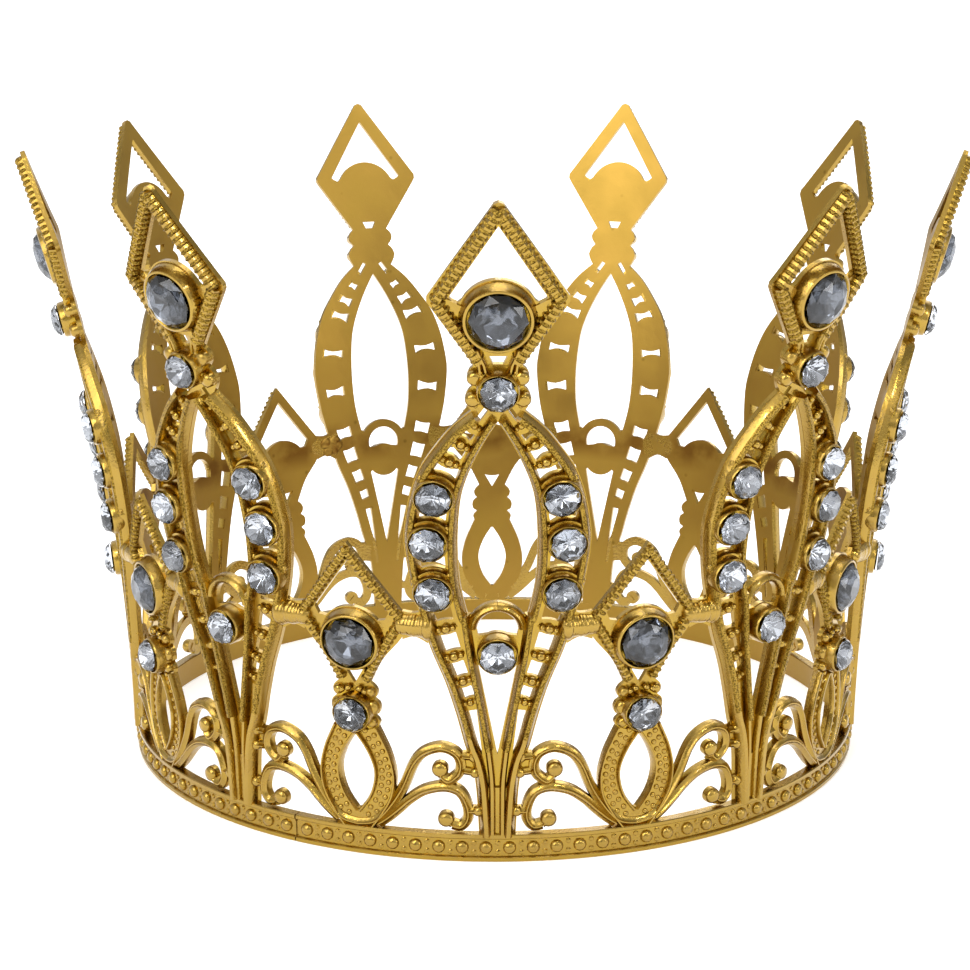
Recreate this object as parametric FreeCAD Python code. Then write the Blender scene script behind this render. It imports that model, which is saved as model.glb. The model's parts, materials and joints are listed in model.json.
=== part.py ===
import FreeCAD, Part
import math
import os

# Full-round dress crown: nine tall open-work points and nine short ones stand on a beaded rim.
# Millimetres, +Z up. The origin is the centre of the rim's underside, on the crown's axis.
# Every panel is drawn flat, as (across, up) from its own centre line and the rim's underside,
# and then follows one flared shell. The first point faces -Y; angles grow towards +X.

V = FreeCAD.Vector

# ---- Driving dimensions --------------------------------------------------------------------
POINTS = 9                      # tall points, with one short point between each two
BORE_RADIUS = 69.0              # inside of the rim, where the head goes
RIM_WALL = 2.0
RIM_HEIGHT = 5.0
RIM_RAIL = 0.9                  # height of the rim's lower and upper rail
RIM_GROOVE = 0.8                # depth of the bead groove between the rails
FLARE_RADIUS = 375.0            # the wall bends outwards on this radius, upright at the rim

TALL_LENGTH = 118.4             # along the back, rim's underside to the tip
SHORT_LENGTH = 57.3
PITCH_DRAWN = 48.17             # rim length from one tall point to the next in the flat pattern
LOOP_LEVELS = (47.0, 76.0)      # only this stretch of a tall panel grows with TALL_LENGTH
CROSSBAR_LEVEL = 43.0           # middle of the bridges and widest level of the short diamonds

PLATE = 1.4                     # cast back plate
RAIL_HEIGHT = 2.5               # raised rails, from the back face
RAIL_WIDTH = 1.2
RAIL_INSET = 0.15               # ledge between a rail and the edge of its plate
SCROLL_WIDTH = 1.5
SCROLL_HEIGHT = 2.2
SCROLL_BALL = 1.15              # radius of the ball that ends each scroll
BRIDGE_HEIGHT = 6.4
BRIDGE_BAR = 1.3                # radius of the half-round bar on a bridge's web
BRIDGE_ENDS = (11.9, 9.2)       # from a tall and from a short centre line, inside their edges

ROUND_STONE = 6.0               # diameter of the small clear stones
TALL_CREST_STONE = 9.6
SHORT_CREST_STONE = 9.0
CUP_WALL = 0.4                 # metal round a small stone
CREST_WALL = 0.75               # metal round a crest stone at its mouth
CREST_FLARE = 0.85              # how much wider a crest cup is at its foot
CUP_FLARE = 0.2                 # the same on a small cup
SEAT_FLOOR = 1.0                # metal behind a crest stone
ROUND_FLOOR = 2.2               # metal behind a small stone
SEAT_GAP = 0.04                 # radial clearance of a stone in its cup
CUP_HEIGHT = 4.4
CREST_HEIGHT = 3.6

SECTIONS = 3                    # cast sections soldered into the round
FIRST_SEAM = -30.0              # degrees
SEAM_WIDTH = 0.6
SOLDER = 0.7                    # thickness of the solder pad behind a seam's bridge
SOLDER_RADIUS = 2.6

# ---- The flat pattern: right halves, (across, up) --------------------------------------------
TALL_HEAD = [(0, 118.4), (11.2, 101.8), (3.85, 90.2), (5.0, 88.4), (4.05, 86.6), (5.35, 84.5)]
TALL_SIDE = [(4.3, 82.2), (10.3, 75.6), (14.4, 67.0), (15.5, 58.0), (14.6, 51.5), (11.2, 39.0),
             (6.9, 26.8), (4.4, 18.1), (3.5, 13.3), (3.0, 0.0)]
ALMOND_SIDE = [(0, 80.3), (3.9, 73.0), (6.2, 65.0), (6.6, 58.1), (6.25, 51.4), (4.75, 45.0)]
ARCH_TOP = 47.7
ARCH_HOLE = [(3.2, 41.5), (0, 46.0)]
CREST_HOLE = [(0, 114.3), (7.8, 102.0), (6.7, 100.9)]
NECK_HOLE = [(1.45, 91.85), (0.8, 90.45)]
LEG_SLOT = [(3.2, 35.8), (0, 19.6)]
SHOULDER_SLOT = [(1.8, 82.65, 0.8), (3.35, 80.35, 0.8)]
SHANK_SLOT = [(4.15, 27.75, 1.3), (2.35, 15.05, 0.5)]
RUNG_HOLES = [(4.9, 77.9, 1.6, 1.0), (7.0, 74.8, 2.4, 1.5), (8.6, 71.35, 3.0, 1.6),
              (10.9, 63.35, 4.0, 1.5), (11.0, 54.75, 3.4, 1.8), (9.2, 45.4, 2.3, 2.0),
              (7.9, 40.3, 2.1, 2.2), (6.45, 35.35, 1.8, 2.0), (5.0, 31.05, 1.5, 1.4)]
TALL_CREST = (0, 98.7)
TALL_ROUNDS = [(0, 86.3), (10.15, 67.3), (11.2, 59.0), (10.35, 49.85), (0, 38.6)]

SHORT_HEAD = [(0, 57.3), (10.0, 43.9), (8.8, 40.6), (5.2, 36.2), (2.9, 31.7), (3.8, 30.0),
              (3.4, 27.0)]
SHORT_SIDE = [(3.9, 24.0), (6.1, 18.9), (6.9, 15.0), (6.4, 11.0), (4.6, 7.5), (3.6, 0.0)]
SHORT_CREST_HOLE = [(0, 54.1), (6.7, 45.0), (5.9, 43.7)]
SHORT_NECK_HOLE = [(1.75, 34.3), (0, 31.3)]
TEAR_SIDE = [(0, 22.2), (3.0, 16.2), (2.2, 11.0), (0, 7.95)]
SHORT_CREST = (0, 39.6)
SHORT_ROUND = (0, 26.5)

UPPER_SCROLL = [(20.6, 4.0), (18.3, 9.2), (16.1, 12.9), (14.3, 17.3), (12.5, 19.6), (9.6, 20.7),
                (7.2, 19.9), (6.2, 18.1), (6.5, 16.1), (8.2, 14.6), (9.4, 15.3)]
UPPER_BALL = (9.7, 16.6)
LOWER_SCROLL = [(19.6, 4.0), (16.8, 8.7), (14.9, 10.8), (12.3, 12.6), (9.0, 13.4), (6.4, 12.6),
                (5.1, 10.1), (5.0, 7.8), (6.1, 6.3), (7.6, 6.5)]
LOWER_BALL = (8.7, 7.4)
SCROLL_KNOBS = [(5.9, 19.5, 3.8, 19.0), (5.5, 16.1, 3.5, 16.0)]   # from the curl to the stem

# ---- Values worked out from them ---------------------------------------------------------------
STEP = 360.0 / POINTS
STRETCH = 2 * math.pi * BORE_RADIUS / POINTS / PITCH_DRAWN
FLARE_CENTRE = BORE_RADIUS + FLARE_RADIUS
TALL_DRAWN = TALL_HEAD[0][1]
SHORT_DRAWN = SHORT_HEAD[0][1]


def tall_level(up):
    """Moves a level of the drawn tall panel to where TALL_LENGTH puts it."""
    low, high = LOOP_LEVELS
    share = min(max((up - low) / (high - low), 0.0), 1.0)
    return up + share * (TALL_LENGTH - TALL_DRAWN)


def short_level(up):
    """Moves a level above the crossbar to where SHORT_LENGTH puts it."""
    share = max(up - CROSSBAR_LEVEL, 0.0) / (SHORT_DRAWN - CROSSBAR_LEVEL)
    return up + share * (SHORT_LENGTH - SHORT_DRAWN)


def tall(points):
    return [(p[0] * STRETCH, tall_level(p[1])) + tuple(p[2:]) for p in points]


def short(points):
    return [(p[0] * STRETCH, short_level(p[1])) + tuple(p[2:]) for p in points]


# ---- From the flat pattern to the flared shell ---------------------------------------------------
def elevation(across, up):
    """A flat point seen square on from outside the crown, as the prisms are drawn."""
    bend = across / BORE_RADIUS
    tilt = up / FLARE_RADIUS
    return V(BORE_RADIUS * math.sin(bend), 0, FLARE_RADIUS * math.sin(tilt))


def on_shell(across, up, out=0.0):
    """The place and the outward direction of a flat point, `out` from the back face."""
    tilt = up / FLARE_RADIUS
    x = elevation(across, up).x
    radius = FLARE_CENTRE - FLARE_RADIUS * math.cos(tilt)
    turn = math.asin(x / radius)
    normal = V(math.sin(turn) * math.cos(tilt), -math.cos(turn) * math.cos(tilt), -math.sin(tilt))
    foot = V(x, -radius * math.cos(turn), FLARE_RADIUS * math.sin(tilt))
    return foot + normal * out, normal


def shell(inner, outer, low, high, start, end):
    """The flared wall between two depths, two heights and two angles from the front."""
    def profile_point(out, height):
        radius = FLARE_RADIUS - out
        return V(0, -(FLARE_CENTRE - math.sqrt(radius ** 2 - height ** 2)), height)

    def profile_arc(out, first, last):
        middle = profile_point(out, (first + last) / 2)
        return Part.Arc(profile_point(out, first), middle, profile_point(out, last)).toShape()

    top = Part.makeLine(profile_point(inner, high), profile_point(outer, high))
    bottom = Part.makeLine(profile_point(outer, low), profile_point(inner, low))
    sides = [profile_arc(inner, low, high), top, profile_arc(outer, high, low), bottom]
    face = Part.Face(Part.Wire(sides))
    face.rotate(V(0, 0, 0), V(0, 0, 1), start)
    return face.revolve(V(0, 0, 0), V(0, 0, 1), end - start)


def line(points):
    spots = [elevation(*p[:2]) for p in points]
    return [Part.makeLine(a, b) for a, b in zip(spots, spots[1:])]


def curve(points):
    spline = Part.BSplineCurve()
    spline.interpolate([elevation(*p[:2]) for p in points])
    return [spline.toShape()]


def arch(points):
    """A round arch through its foot and crown, and on to the mirrored foot."""
    foot, crown = points
    return [Part.Arc(elevation(*foot), elevation(*crown), elevation(-foot[0], foot[1])).toShape()]


def mirrored(edges):
    return [edge.mirror(V(0, 0, 0), V(1, 0, 0)) for edge in edges]


def face_of(edges):
    return Part.Face(Part.Wire(Part.__sortEdges__(edges)))


def half_outline(edges, foot, top):
    """A face that is the same left and right, from the edges of its right half."""
    closing = []
    for across, up in (foot, top):
        if across > 0:
            closing += line([(across, up), (-across, up)])
    return face_of(edges + mirrored(edges) + closing)


def disc(centre, radius):
    edge = Part.makeCircle(radius, elevation(*centre), V(0, -1, 0))
    return Part.Face(Part.Wire([edge]))


def offset(points, distance):
    """The same run of points, moved sideways to the right of the way it runs."""
    moved = []
    for index, point in enumerate(points):
        before = points[max(index - 1, 0)]
        after = points[min(index + 1, len(points) - 1)]
        run = (after[0] - before[0], after[1] - before[1])
        length = math.hypot(*run)
        moved.append((point[0] + run[1] / length * distance, point[1] - run[0] / length * distance))
    return moved


def strip(points, near, far, draw=curve):
    """A band beside a run of points, between two distances from it."""
    first = offset(points, near)
    second = offset(points, far)
    ends = line([first[0], second[0]]) + line([first[-1], second[-1]])
    return face_of(draw(first) + draw(second) + ends)


def tapered_slot(points):
    """A straight slot between two flat points, each with its own width."""
    (x0, y0, w0), (x1, y1, w1) = points
    length = math.hypot(x1 - x0, y1 - y0)
    sx, sy = (y1 - y0) / length / 2, -(x1 - x0) / length / 2
    corners = [(x0 + sx * w0, y0 + sy * w0), (x1 + sx * w1, y1 + sy * w1),
               (x1 - sx * w1, y1 - sy * w1), (x0 - sx * w0, y0 - sy * w0)]
    return face_of(line(corners + corners[:1]))


def rung_hole(across, up, width, height):
    corners = [(across - width / 2, up - height / 2), (across + width / 2, up - height / 2),
               (across + width / 2, up + height / 2), (across - width / 2, up + height / 2)]
    return face_of(line(corners + corners[:1]))


def both_sides(faces):
    return faces + [face.mirror(V(0, 0, 0), V(1, 0, 0)) for face in faces]


def formed(faces, inner, outer, high):
    """Flat faces made solid: pushed out through the flared wall between two depths."""
    reach = FLARE_CENTRE
    span = 2 * STEP / 3
    wall = shell(inner, outer, RIM_HEIGHT, high, -span, span)
    prisms = [face.extrude(V(0, -reach, 0)) for face in faces]
    block = prisms[0].multiFuse(prisms[1:]) if len(prisms) > 1 else prisms[0]
    return block.common(wall)


def cup(centre, foot_radius, mouth_radius, height):
    """A stone's cup, standing on the middle of the plate."""
    place, normal = on_shell(*centre, PLATE / 2)
    return Part.makeCone(foot_radius, mouth_radius, height - PLATE / 2, place, normal)


def seat(centre, stone, floor):
    """The bore that a stone drops into, open to the front."""
    place, normal = on_shell(*centre, floor)
    return Part.makeCylinder(stone / 2 + SEAT_GAP, CREST_HEIGHT + CUP_HEIGHT, place, normal)


def one_solid(shape):
    """The largest solid of a shape, with its split faces joined."""
    return max(shape.removeSplitter().Solids, key=lambda solid: solid.Volume)


def at_side(point):
    return [point] if point[0] == 0 else [point, (-point[0], point[1])]


# ---- The cast pieces -----------------------------------------------------------------------------
TALL_STONE_SPOTS = [spot for point in tall(TALL_ROUNDS) for spot in at_side(point)]
SHORT_STONE_SPOTS = short([SHORT_ROUND])
ROUND_CUP = ROUND_STONE / 2 + CUP_WALL
TALL_CUP = TALL_CREST_STONE / 2 + CREST_WALL
SHORT_CUP = SHORT_CREST_STONE / 2 + CREST_WALL


def panel(outline, holes, rails, crest, crest_cup, crest_stone, rounds, top):
    """A pierced plate with raised rails and a cup for each stone."""
    crest_foot, round_foot = crest_cup + CREST_FLARE, ROUND_CUP + CUP_FLARE
    discs = [disc(crest, crest_foot)] + [disc(spot, round_foot) for spot in rounds]
    plate = formed([outline.cut(holes)], 0, PLATE, top)
    backs = formed(discs, 0, PLATE, top)
    ribs = formed(rails, PLATE / 2, RAIL_HEIGHT, top)
    cups = [cup(crest, crest_foot, crest_cup, CREST_HEIGHT)]
    cups += [cup(spot, round_foot, ROUND_CUP, CUP_HEIGHT) for spot in rounds]
    seats = [seat(crest, crest_stone, SEAT_FLOOR)]
    seats += [seat(spot, ROUND_STONE, ROUND_FLOOR) for spot in rounds]
    return one_solid(plate.multiFuse([backs, ribs] + cups).cut(seats))


def tall_panel():
    head, side, almond = tall(TALL_HEAD), tall(TALL_SIDE), tall(ALMOND_SIDE)
    right = line(head + side[:1]) + curve(side)
    outline = half_outline(right, side[-1], head[0])
    arch_foot = almond[-1]
    almond_hole = face_of(curve(almond) + mirrored(curve(almond)) + arch([arch_foot, (0, ARCH_TOP)]))
    arch_feet = line([ARCH_HOLE[0], (-ARCH_HOLE[0][0], ARCH_HOLE[0][1])])
    holes = [almond_hole, face_of(arch(ARCH_HOLE) + arch_feet)]
    for corners in (tall(CREST_HOLE), tall(NECK_HOLE), tall(LEG_SLOT)):
        holes.append(half_outline(line(corners), corners[-1], corners[0]))
    sides = [tapered_slot(tall(SHOULDER_SLOT)), tapered_slot(tall(SHANK_SLOT))]
    sides += [rung_hole(*spot) for spot in tall(RUNG_HOLES)]
    holes += both_sides(sides)
    inner, outer = RAIL_INSET, RAIL_INSET + RAIL_WIDTH
    rails = both_sides([
        strip(side, -outer, -inner),
        strip(almond, inner, outer),
        strip(head[:2], -outer, -inner, line),
        strip(head[1:3], -outer, -inner, line),
    ])
    crest = tall([TALL_CREST])[0]
    top = elevation(0, TALL_LENGTH).z
    return panel(outline, holes, rails, crest, TALL_CUP, TALL_CREST_STONE, TALL_STONE_SPOTS, top)


def short_panel():
    head, side, tear = short(SHORT_HEAD), short(SHORT_SIDE), short(TEAR_SIDE)
    right = line(head + side[:1]) + curve(side)
    outline = half_outline(right, side[-1], head[0])
    holes = [face_of(curve(tear) + mirrored(curve(tear)))]
    for corners in (short(SHORT_CREST_HOLE), short(SHORT_NECK_HOLE)):
        holes.append(half_outline(line(corners), corners[-1], corners[0]))
    inner, outer = RAIL_INSET, RAIL_INSET + RAIL_WIDTH
    rails = both_sides([
        strip(side, -outer, -inner),
        strip(tear, inner, outer),
        strip(head[:2], -outer, -inner, line),
        strip(head[2:4], -outer, -inner, line),
    ])
    crest = short([SHORT_CREST])[0]
    top = elevation(0, SHORT_LENGTH).z
    return panel(outline, holes, rails, crest, SHORT_CUP, SHORT_CREST_STONE, SHORT_STONE_SPOTS, top)


def turned(shape, angle):
    return shape.rotated(V(0, 0, 0), V(0, 0, 1), angle)


def scroll(neighbours):
    """The two stacked scrolls on the right of a tall panel, cut to lie against its neighbours."""
    half = SCROLL_WIDTH / 2
    faces = [strip(tall(run), -half, half) for run in (UPPER_SCROLL, LOWER_SCROLL)]
    faces += [disc(tall([ball])[0], SCROLL_BALL) for ball in (UPPER_BALL, LOWER_BALL)]
    for x0, y0, x1, y1 in SCROLL_KNOBS:
        faces.append(tapered_slot(tall([(x0, y0, SCROLL_WIDTH), (x1, y1, SCROLL_WIDTH)])))
    body = formed(faces, 0, SCROLL_HEIGHT, elevation(0, CROSSBAR_LEVEL).z)
    return one_solid(body.cut(neighbours))


def bridge(neighbours):
    """The web and half-round bar from a tall panel to the short one on its right."""
    low = elevation(0, CROSSBAR_LEVEL - BRIDGE_HEIGHT / 2).z
    high = elevation(0, CROSSBAR_LEVEL + BRIDGE_HEIGHT / 2).z
    middle, _ = on_shell(0, CROSSBAR_LEVEL, PLATE)
    near, far = (math.degrees(math.asin(end * STRETCH / -middle.y)) for end in BRIDGE_ENDS)
    start, end = near, STEP / 2 - far
    web = shell(0, PLATE, low, high, start, end)
    ring = Part.makeTorus(-middle.y, BRIDGE_BAR, V(0, 0, middle.z), V(0, 0, 1))
    bar = ring.common(shell(PLATE / 2, PLATE + 2 * BRIDGE_BAR, low, high, start, end))
    return one_solid(web.fuse(bar).cut(neighbours))


def rim_profile(proud=0.0):
    """The rim's section: a band with a groove for the beads between two rails."""
    inner, outer = BORE_RADIUS, BORE_RADIUS + RIM_WALL + proud
    floor = outer - RIM_GROOVE
    corners = [(inner, 0), (outer, 0), (outer, RIM_RAIL), (floor, RIM_RAIL),
               (floor, RIM_HEIGHT - RIM_RAIL), (outer, RIM_HEIGHT - RIM_RAIL),
               (outer, RIM_HEIGHT), (inner, RIM_HEIGHT)]
    spots = [V(0, -radius, height) for radius, height in corners]
    return Part.Face(Part.makePolygon(spots + spots[:1]))


def rim_arc(start, end, proud=0.0):
    face = rim_profile(proud)
    face.rotate(V(0, 0, 0), V(0, 0, 1), start)
    return face.revolve(V(0, 0, 0), V(0, 0, 1), end - start)


# ---- The stones ------------------------------------------------------------------------------------
def stone(centre, profile, floor):
    """A turned stone that stands on its seat's floor."""
    spots = [V(radius, 0, height) for radius, height in profile]
    body = Part.Face(Part.makePolygon(spots + spots[:1])).revolve(V(0, 0, 0), V(0, 0, 1), 360)
    place, normal = on_shell(*centre, floor)
    body.Placement = FreeCAD.Placement(place, FreeCAD.Rotation(V(0, 0, 1), normal))
    return body


def crest_stone(centre, diameter):
    """A domed stone with a flat back and a raised table."""
    radius = diameter / 2
    girdle = CREST_HEIGHT - SEAT_FLOOR - 0.6
    profile = [(0, 0), (radius, 0), (radius, girdle), (0.74 * radius, girdle + 1.3),
               (0.4 * radius, girdle + 1.9), (0, girdle + 1.9)]
    return stone(centre, profile, SEAT_FLOOR)


def round_stone(centre):
    """A chaton with a cut-off culet, a girdle, and a crown up to its table."""
    radius = ROUND_STONE / 2
    profile = [(0, 0), (0.35 * radius, 0), (radius, 1.7), (radius, 2.1), (0.55 * radius, 3.2),
               (0, 3.2)]
    return stone(centre, profile, ROUND_FLOOR)


# ---- The assembly ------------------------------------------------------------------------------------
def export(name, solids):
    shape = solids[0] if len(solids) == 1 else Part.makeCompound(solids)
    shape.exportStep(os.path.join("parts", name + ".step"))
    print(name, len(solids), "solids", round(shape.Volume, 1), "mm3", shape.isValid())


def main():
    os.makedirs("parts", exist_ok=True)
    tall_body, short_body = tall_panel(), short_panel()
    right_short = turned(short_body, STEP / 2)
    scroll_right = scroll([tall_body, right_short])
    bridge_right = bridge([tall_body, right_short])
    pairs = {}
    for name, body in (("scroll", scroll_right), ("bridge", bridge_right)):
        pairs[name] = [body, body.mirror(V(0, 0, 0), V(1, 0, 0))]
    tall_jewels = [round_stone(spot) for spot in TALL_STONE_SPOTS]
    short_jewels = [round_stone(spot) for spot in SHORT_STONE_SPOTS]
    tall_gem = crest_stone(tall([TALL_CREST])[0], TALL_CREST_STONE)
    short_gem = crest_stone(short([SHORT_CREST])[0], SHORT_CREST_STONE)

    bridges, small_stones = [], []
    for index in range(POINTS):
        angle = index * STEP
        label = str(index + 1)
        export("tall_panel_" + label, [turned(tall_body, angle)])
        export("short_panel_" + label, [turned(short_body, angle + STEP / 2)])
        export("scrollwork_" + label, [turned(body, angle) for body in pairs["scroll"]])
        export("tall_crest_stone_" + label, [turned(tall_gem, angle)])
        export("short_crest_stone_" + label, [turned(short_gem, angle + STEP / 2)])
        export("tall_round_stones_" + label, [turned(body, angle) for body in tall_jewels])
        bridges += [turned(body, angle) for body in pairs["bridge"]]
        small_stones += [turned(body, angle + STEP / 2) for body in short_jewels]
    export("bridges", bridges)
    export("short_round_stones", small_stones)

    half_seam = math.degrees(SEAM_WIDTH / 2 / BORE_RADIUS)
    section = 360.0 / SECTIONS
    low = elevation(0, CROSSBAR_LEVEL - SOLDER_RADIUS).z
    high = elevation(0, CROSSBAR_LEVEL + SOLDER_RADIUS).z
    solder = []
    for index in range(SECTIONS):
        seam = FIRST_SEAM + index * section
        body = rim_arc(seam + half_seam, seam + section - half_seam)
        export("rim_section_" + str(index + 1), [body])
        solder.append(rim_arc(seam - half_seam, seam + half_seam, SOLDER / 4))
        spread = math.degrees(SOLDER_RADIUS / BORE_RADIUS)
        solder.append(shell(-SOLDER, 0, low, high, seam - spread, seam + spread))
    export("solder_seams", solder)


main()
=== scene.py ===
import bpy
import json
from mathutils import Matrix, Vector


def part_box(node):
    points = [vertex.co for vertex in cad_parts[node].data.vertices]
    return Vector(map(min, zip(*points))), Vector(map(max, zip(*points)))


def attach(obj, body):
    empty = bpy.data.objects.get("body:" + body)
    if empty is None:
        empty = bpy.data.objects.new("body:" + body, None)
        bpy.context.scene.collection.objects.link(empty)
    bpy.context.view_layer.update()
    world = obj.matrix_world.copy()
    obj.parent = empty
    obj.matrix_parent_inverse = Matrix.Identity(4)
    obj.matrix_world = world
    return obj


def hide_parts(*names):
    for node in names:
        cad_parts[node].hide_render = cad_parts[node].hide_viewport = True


bl_info = {
    "name": "Jewelled Dress Crown",
    "version": (1, 0, 0),
    "blender": (4, 5, 0),
    "location": "View3D > Sidebar > Crown",
    "description": "Models a gold-plated open-work dress crown with glass stones round its frame",
    "category": "Object",
}

import json
import math
import random

import bmesh
import bpy
from mathutils import Matrix, Vector

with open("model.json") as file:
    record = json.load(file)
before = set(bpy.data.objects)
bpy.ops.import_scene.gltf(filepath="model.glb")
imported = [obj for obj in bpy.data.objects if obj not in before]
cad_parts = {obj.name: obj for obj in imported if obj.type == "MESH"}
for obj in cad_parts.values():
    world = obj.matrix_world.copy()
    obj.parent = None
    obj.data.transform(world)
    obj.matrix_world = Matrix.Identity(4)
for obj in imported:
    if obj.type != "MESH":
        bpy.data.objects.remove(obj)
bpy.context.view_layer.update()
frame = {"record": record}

MM = 0.001
BODY = "root"


def mount(name):
    """One of the crown's named mounts, such as the bore for the head."""
    return next(m for m in frame["record"]["mounts"] if m["name"] == name)


# ---- The flat pattern in millimetres: right halves, (across, up) ---------------------------------
# Across runs from a panel's centre line, up from the rim's underside along the back face.
POINTS = 9
STEP = math.tau / POINTS
TALL_TIP = 118.4
TALL_CORNER = (11.2, 101.8)
TALL_NECK = (3.85, 90.2)
TALL_WAIST = (4.3, 82.2)
TALL_HEAD = [(0, TALL_TIP), (0.75, 118.1), (1.3, 117.2), (10.6, 103.2), (11.3, 102.2),
             (11.3, 101.3), (10.7, 100.3)]
TALL_COLLAR = [TALL_NECK, (4.6, 89.5), (5.0, 88.4), (4.5, 87.2), (4.05, 86.6), (4.7, 86.0),
               (5.35, 84.5), (4.8, 83.0), TALL_WAIST]
TALL_SIDE = [TALL_WAIST, (7.4, 79.4), (10.3, 75.6), (12.8, 71.6), (14.4, 67.0), (15.3, 62.0),
             (15.5, 58.0), (14.6, 51.5), (13.3, 46.2), (11.2, 39.0), (8.7, 32.7), (6.9, 26.8),
             (5.5, 21.3), (4.4, 18.1), (3.6, 13.3), (3.1, 4.6)]
ALMOND_SIDE = [(0, 80.3), (2.0, 76.9), (3.9, 73.0), (5.4, 69.0), (6.2, 65.0), (6.6, 58.1),
               (6.25, 51.4), (5.2, 46.2), (4.75, 45.0)]
ARCH_CENTRE = (0, 42.6)
ARCH_OUTER = 5.1
ARCH_INNER = 3.4
LEG_TOP = (3.2, 36.0)
LEG_TIP = (0, 19.6)
LEG_RAIL = [(5.5, 45.4), (5.0, 41.6), (4.15, 36.0), (2.65, 27.6), (1.5, 20.6)]
STEM_RAIL = [(1.5, 20.6), (0.95, 15.0), (0.85, 10.0), (0.85, 4.9)]
STEM_FLUTE = [(2.05, 14.2), (2.0, 4.9)]
STEM_FILL = [(0, 13.6), (0, 4.9)]
STEM_TOP = 24.0                 # the side rails are rough above this level and smooth below
CREST_TOP = (0, 114.3)
CREST_CORNERS = [(7.8, 102.0), (6.7, 100.9)]
NECK_HOLE = [(1.45, 91.85), (0.8, 90.45)]
SHOULDER_SLOT = [(1.8, 82.65, 0.8), (3.35, 80.35, 0.8)]
SHANK_SLOT = [(4.15, 27.75, 1.3), (2.35, 15.05, 0.6)]
# Holes of the loop's channel: across, up, width, height, and how far their ends are pinched in.
RUNG_HOLES = [(4.9, 77.9, 2.0, 1.4, 0.18), (7.0, 74.8, 3.1, 2.0, 0.22),
              (8.6, 71.35, 4.2, 2.2, 0.24), (10.9, 63.2, 4.9, 1.9, 0.25),
              (11.0, 54.6, 4.7, 2.2, 0.25), (9.2, 45.3, 3.4, 2.5, 0.1),
              (7.9, 40.2, 2.9, 3.2, 0.05), (6.45, 35.3, 2.5, 2.8, 0.05),
              (5.0, 31.05, 2.0, 2.1, 0.05)]
# Neighbouring holes, by number, with a rung of beads between them.
RUNG_GAPS = ((0, 1), (1, 2), (5, 6), (6, 7), (7, 8))
# Rungs above the first hole and below the last: place, lean in degrees and width.
END_RUNGS = (((3.7, 79.7), -52, 1.9), ((4.5, 29.3), -108, 1.9))
# The collar's bars: level, and how far across their rounded ears stand.
TALL_EARS = ((88.3, 3.7), (84.5, 4.0))
CREST_STRANDS = ([(4.7, 94.2), (3.1, 91.2), (2.75, 88.8)], [(3.3, 93.2), (2.2, 90.6), (1.9, 89.2)])
CREST_LEDGE = [(6.0, 99.9), (8.7, 101.3)]
TALL_CREST = (0, 98.7)
SIDE_ROUNDS = [(10.15, 67.3), (11.2, 59.0), (10.35, 49.85)]
LEDGE_LEANS = (16, 0, -12)      # degrees, one for each side round
LEG_ROUND = (0, 38.6)
TALL_ROUNDS = [(0, 86.3)] + SIDE_ROUNDS + [LEG_ROUND]

SHORT_TIP = 57.3
SHORT_CORNER = (10.0, 43.9)
SHORT_NECK = (2.9, 31.7)
SHORT_WAIST = (4.0, 23.7)
SHORT_UNDER = [SHORT_CORNER, (8.8, 40.6), (5.2, 36.2), SHORT_NECK]
SHORT_COLLAR = [SHORT_NECK, (3.7, 31.0), (4.1, 30.1), (3.8, 29.2), (3.4, 28.8), (4.2, 28.2),
                (4.5, 27.2), (4.2, 26.2), (3.4, 25.8), (4.0, 25.2), (4.3, 24.5), SHORT_WAIST]
SHORT_SIDE = [SHORT_WAIST, (4.9, 21.8), (6.1, 18.9), (6.9, 15.0), (6.4, 11.0), (4.6, 7.5),
              (2.6, 4.6)]
SHORT_CREST_TOP = (0, 54.1)
SHORT_CREST_CORNERS = [(6.7, 45.0), (6.0, 43.6)]
SHORT_NECK_HOLE = [(0, 33.9), (1.75, 34.3), (0, 31.3)]
# The short collar's ears: level, how far across, and radius.
SHORT_EARS = ((30.1, 2.9, 0.95), (27.2, 2.95, 1.4), (24.5, 3.0, 0.95))
TEAR_SIDE = [(0, 22.2), (1.8, 19.4), (3.0, 16.2), (2.9, 13.4), (1.9, 10.6), (0, 7.95)]
SHORT_CREST = (0, 39.6)
SHORT_ROUND = (0, 26.5)
# Two rows of beads down the tear: share of the way across, and shift down.
TEAR_ROWS = ((0.36, 0.0), (0.67, 0.7))
TEAR_ROW_TOP = 22.8
TEAR_BEADS = 12
TEAR_PITCH = 1.42

UPPER_SCROLL = [(24.1, 5.5), (21.8, 5.9), (20.2, 6.9), (18.3, 9.2), (16.1, 12.9), (14.3, 17.3),
                (12.5, 19.6), (9.6, 20.7), (7.2, 19.9), (6.2, 18.1), (6.5, 16.1), (8.2, 14.6),
                (9.4, 15.3)]
UPPER_BALL = (9.7, 16.7)
LOWER_SCROLL = [(20.4, 5.8), (18.6, 7.2), (16.8, 8.9), (14.9, 10.8), (12.3, 12.6), (9.0, 13.4),
                (6.4, 12.6), (5.1, 10.1), (5.0, 7.8), (6.1, 6.3), (7.6, 6.5)]
LOWER_BALL = (8.7, 7.5)
SCROLL_KNOBS = [[(5.9, 19.3), (3.9, 19.2)], [(5.6, 16.6), (3.7, 16.3)], [(4.9, 9.2), (3.2, 9.2)]]
SCROLL_WEB = [(22.6, 5.4), (19.2, 7.4), (17.6, 9.4)]
SCROLL_TIE = [(5.9, 18.0), (3.8, 17.8)]

CROSSBAR = 43.0                 # level of the bridges
BRIDGE_START = 11.6             # across from the tall panel's centre line
BRIDGE_STOP = 8.1               # short of the short panel's centre line
SEAMS = (-30.0, 90.0, 210.0)    # degrees
SEAM_GAP = 0.12                 # half the width of a seam in the rim


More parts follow.
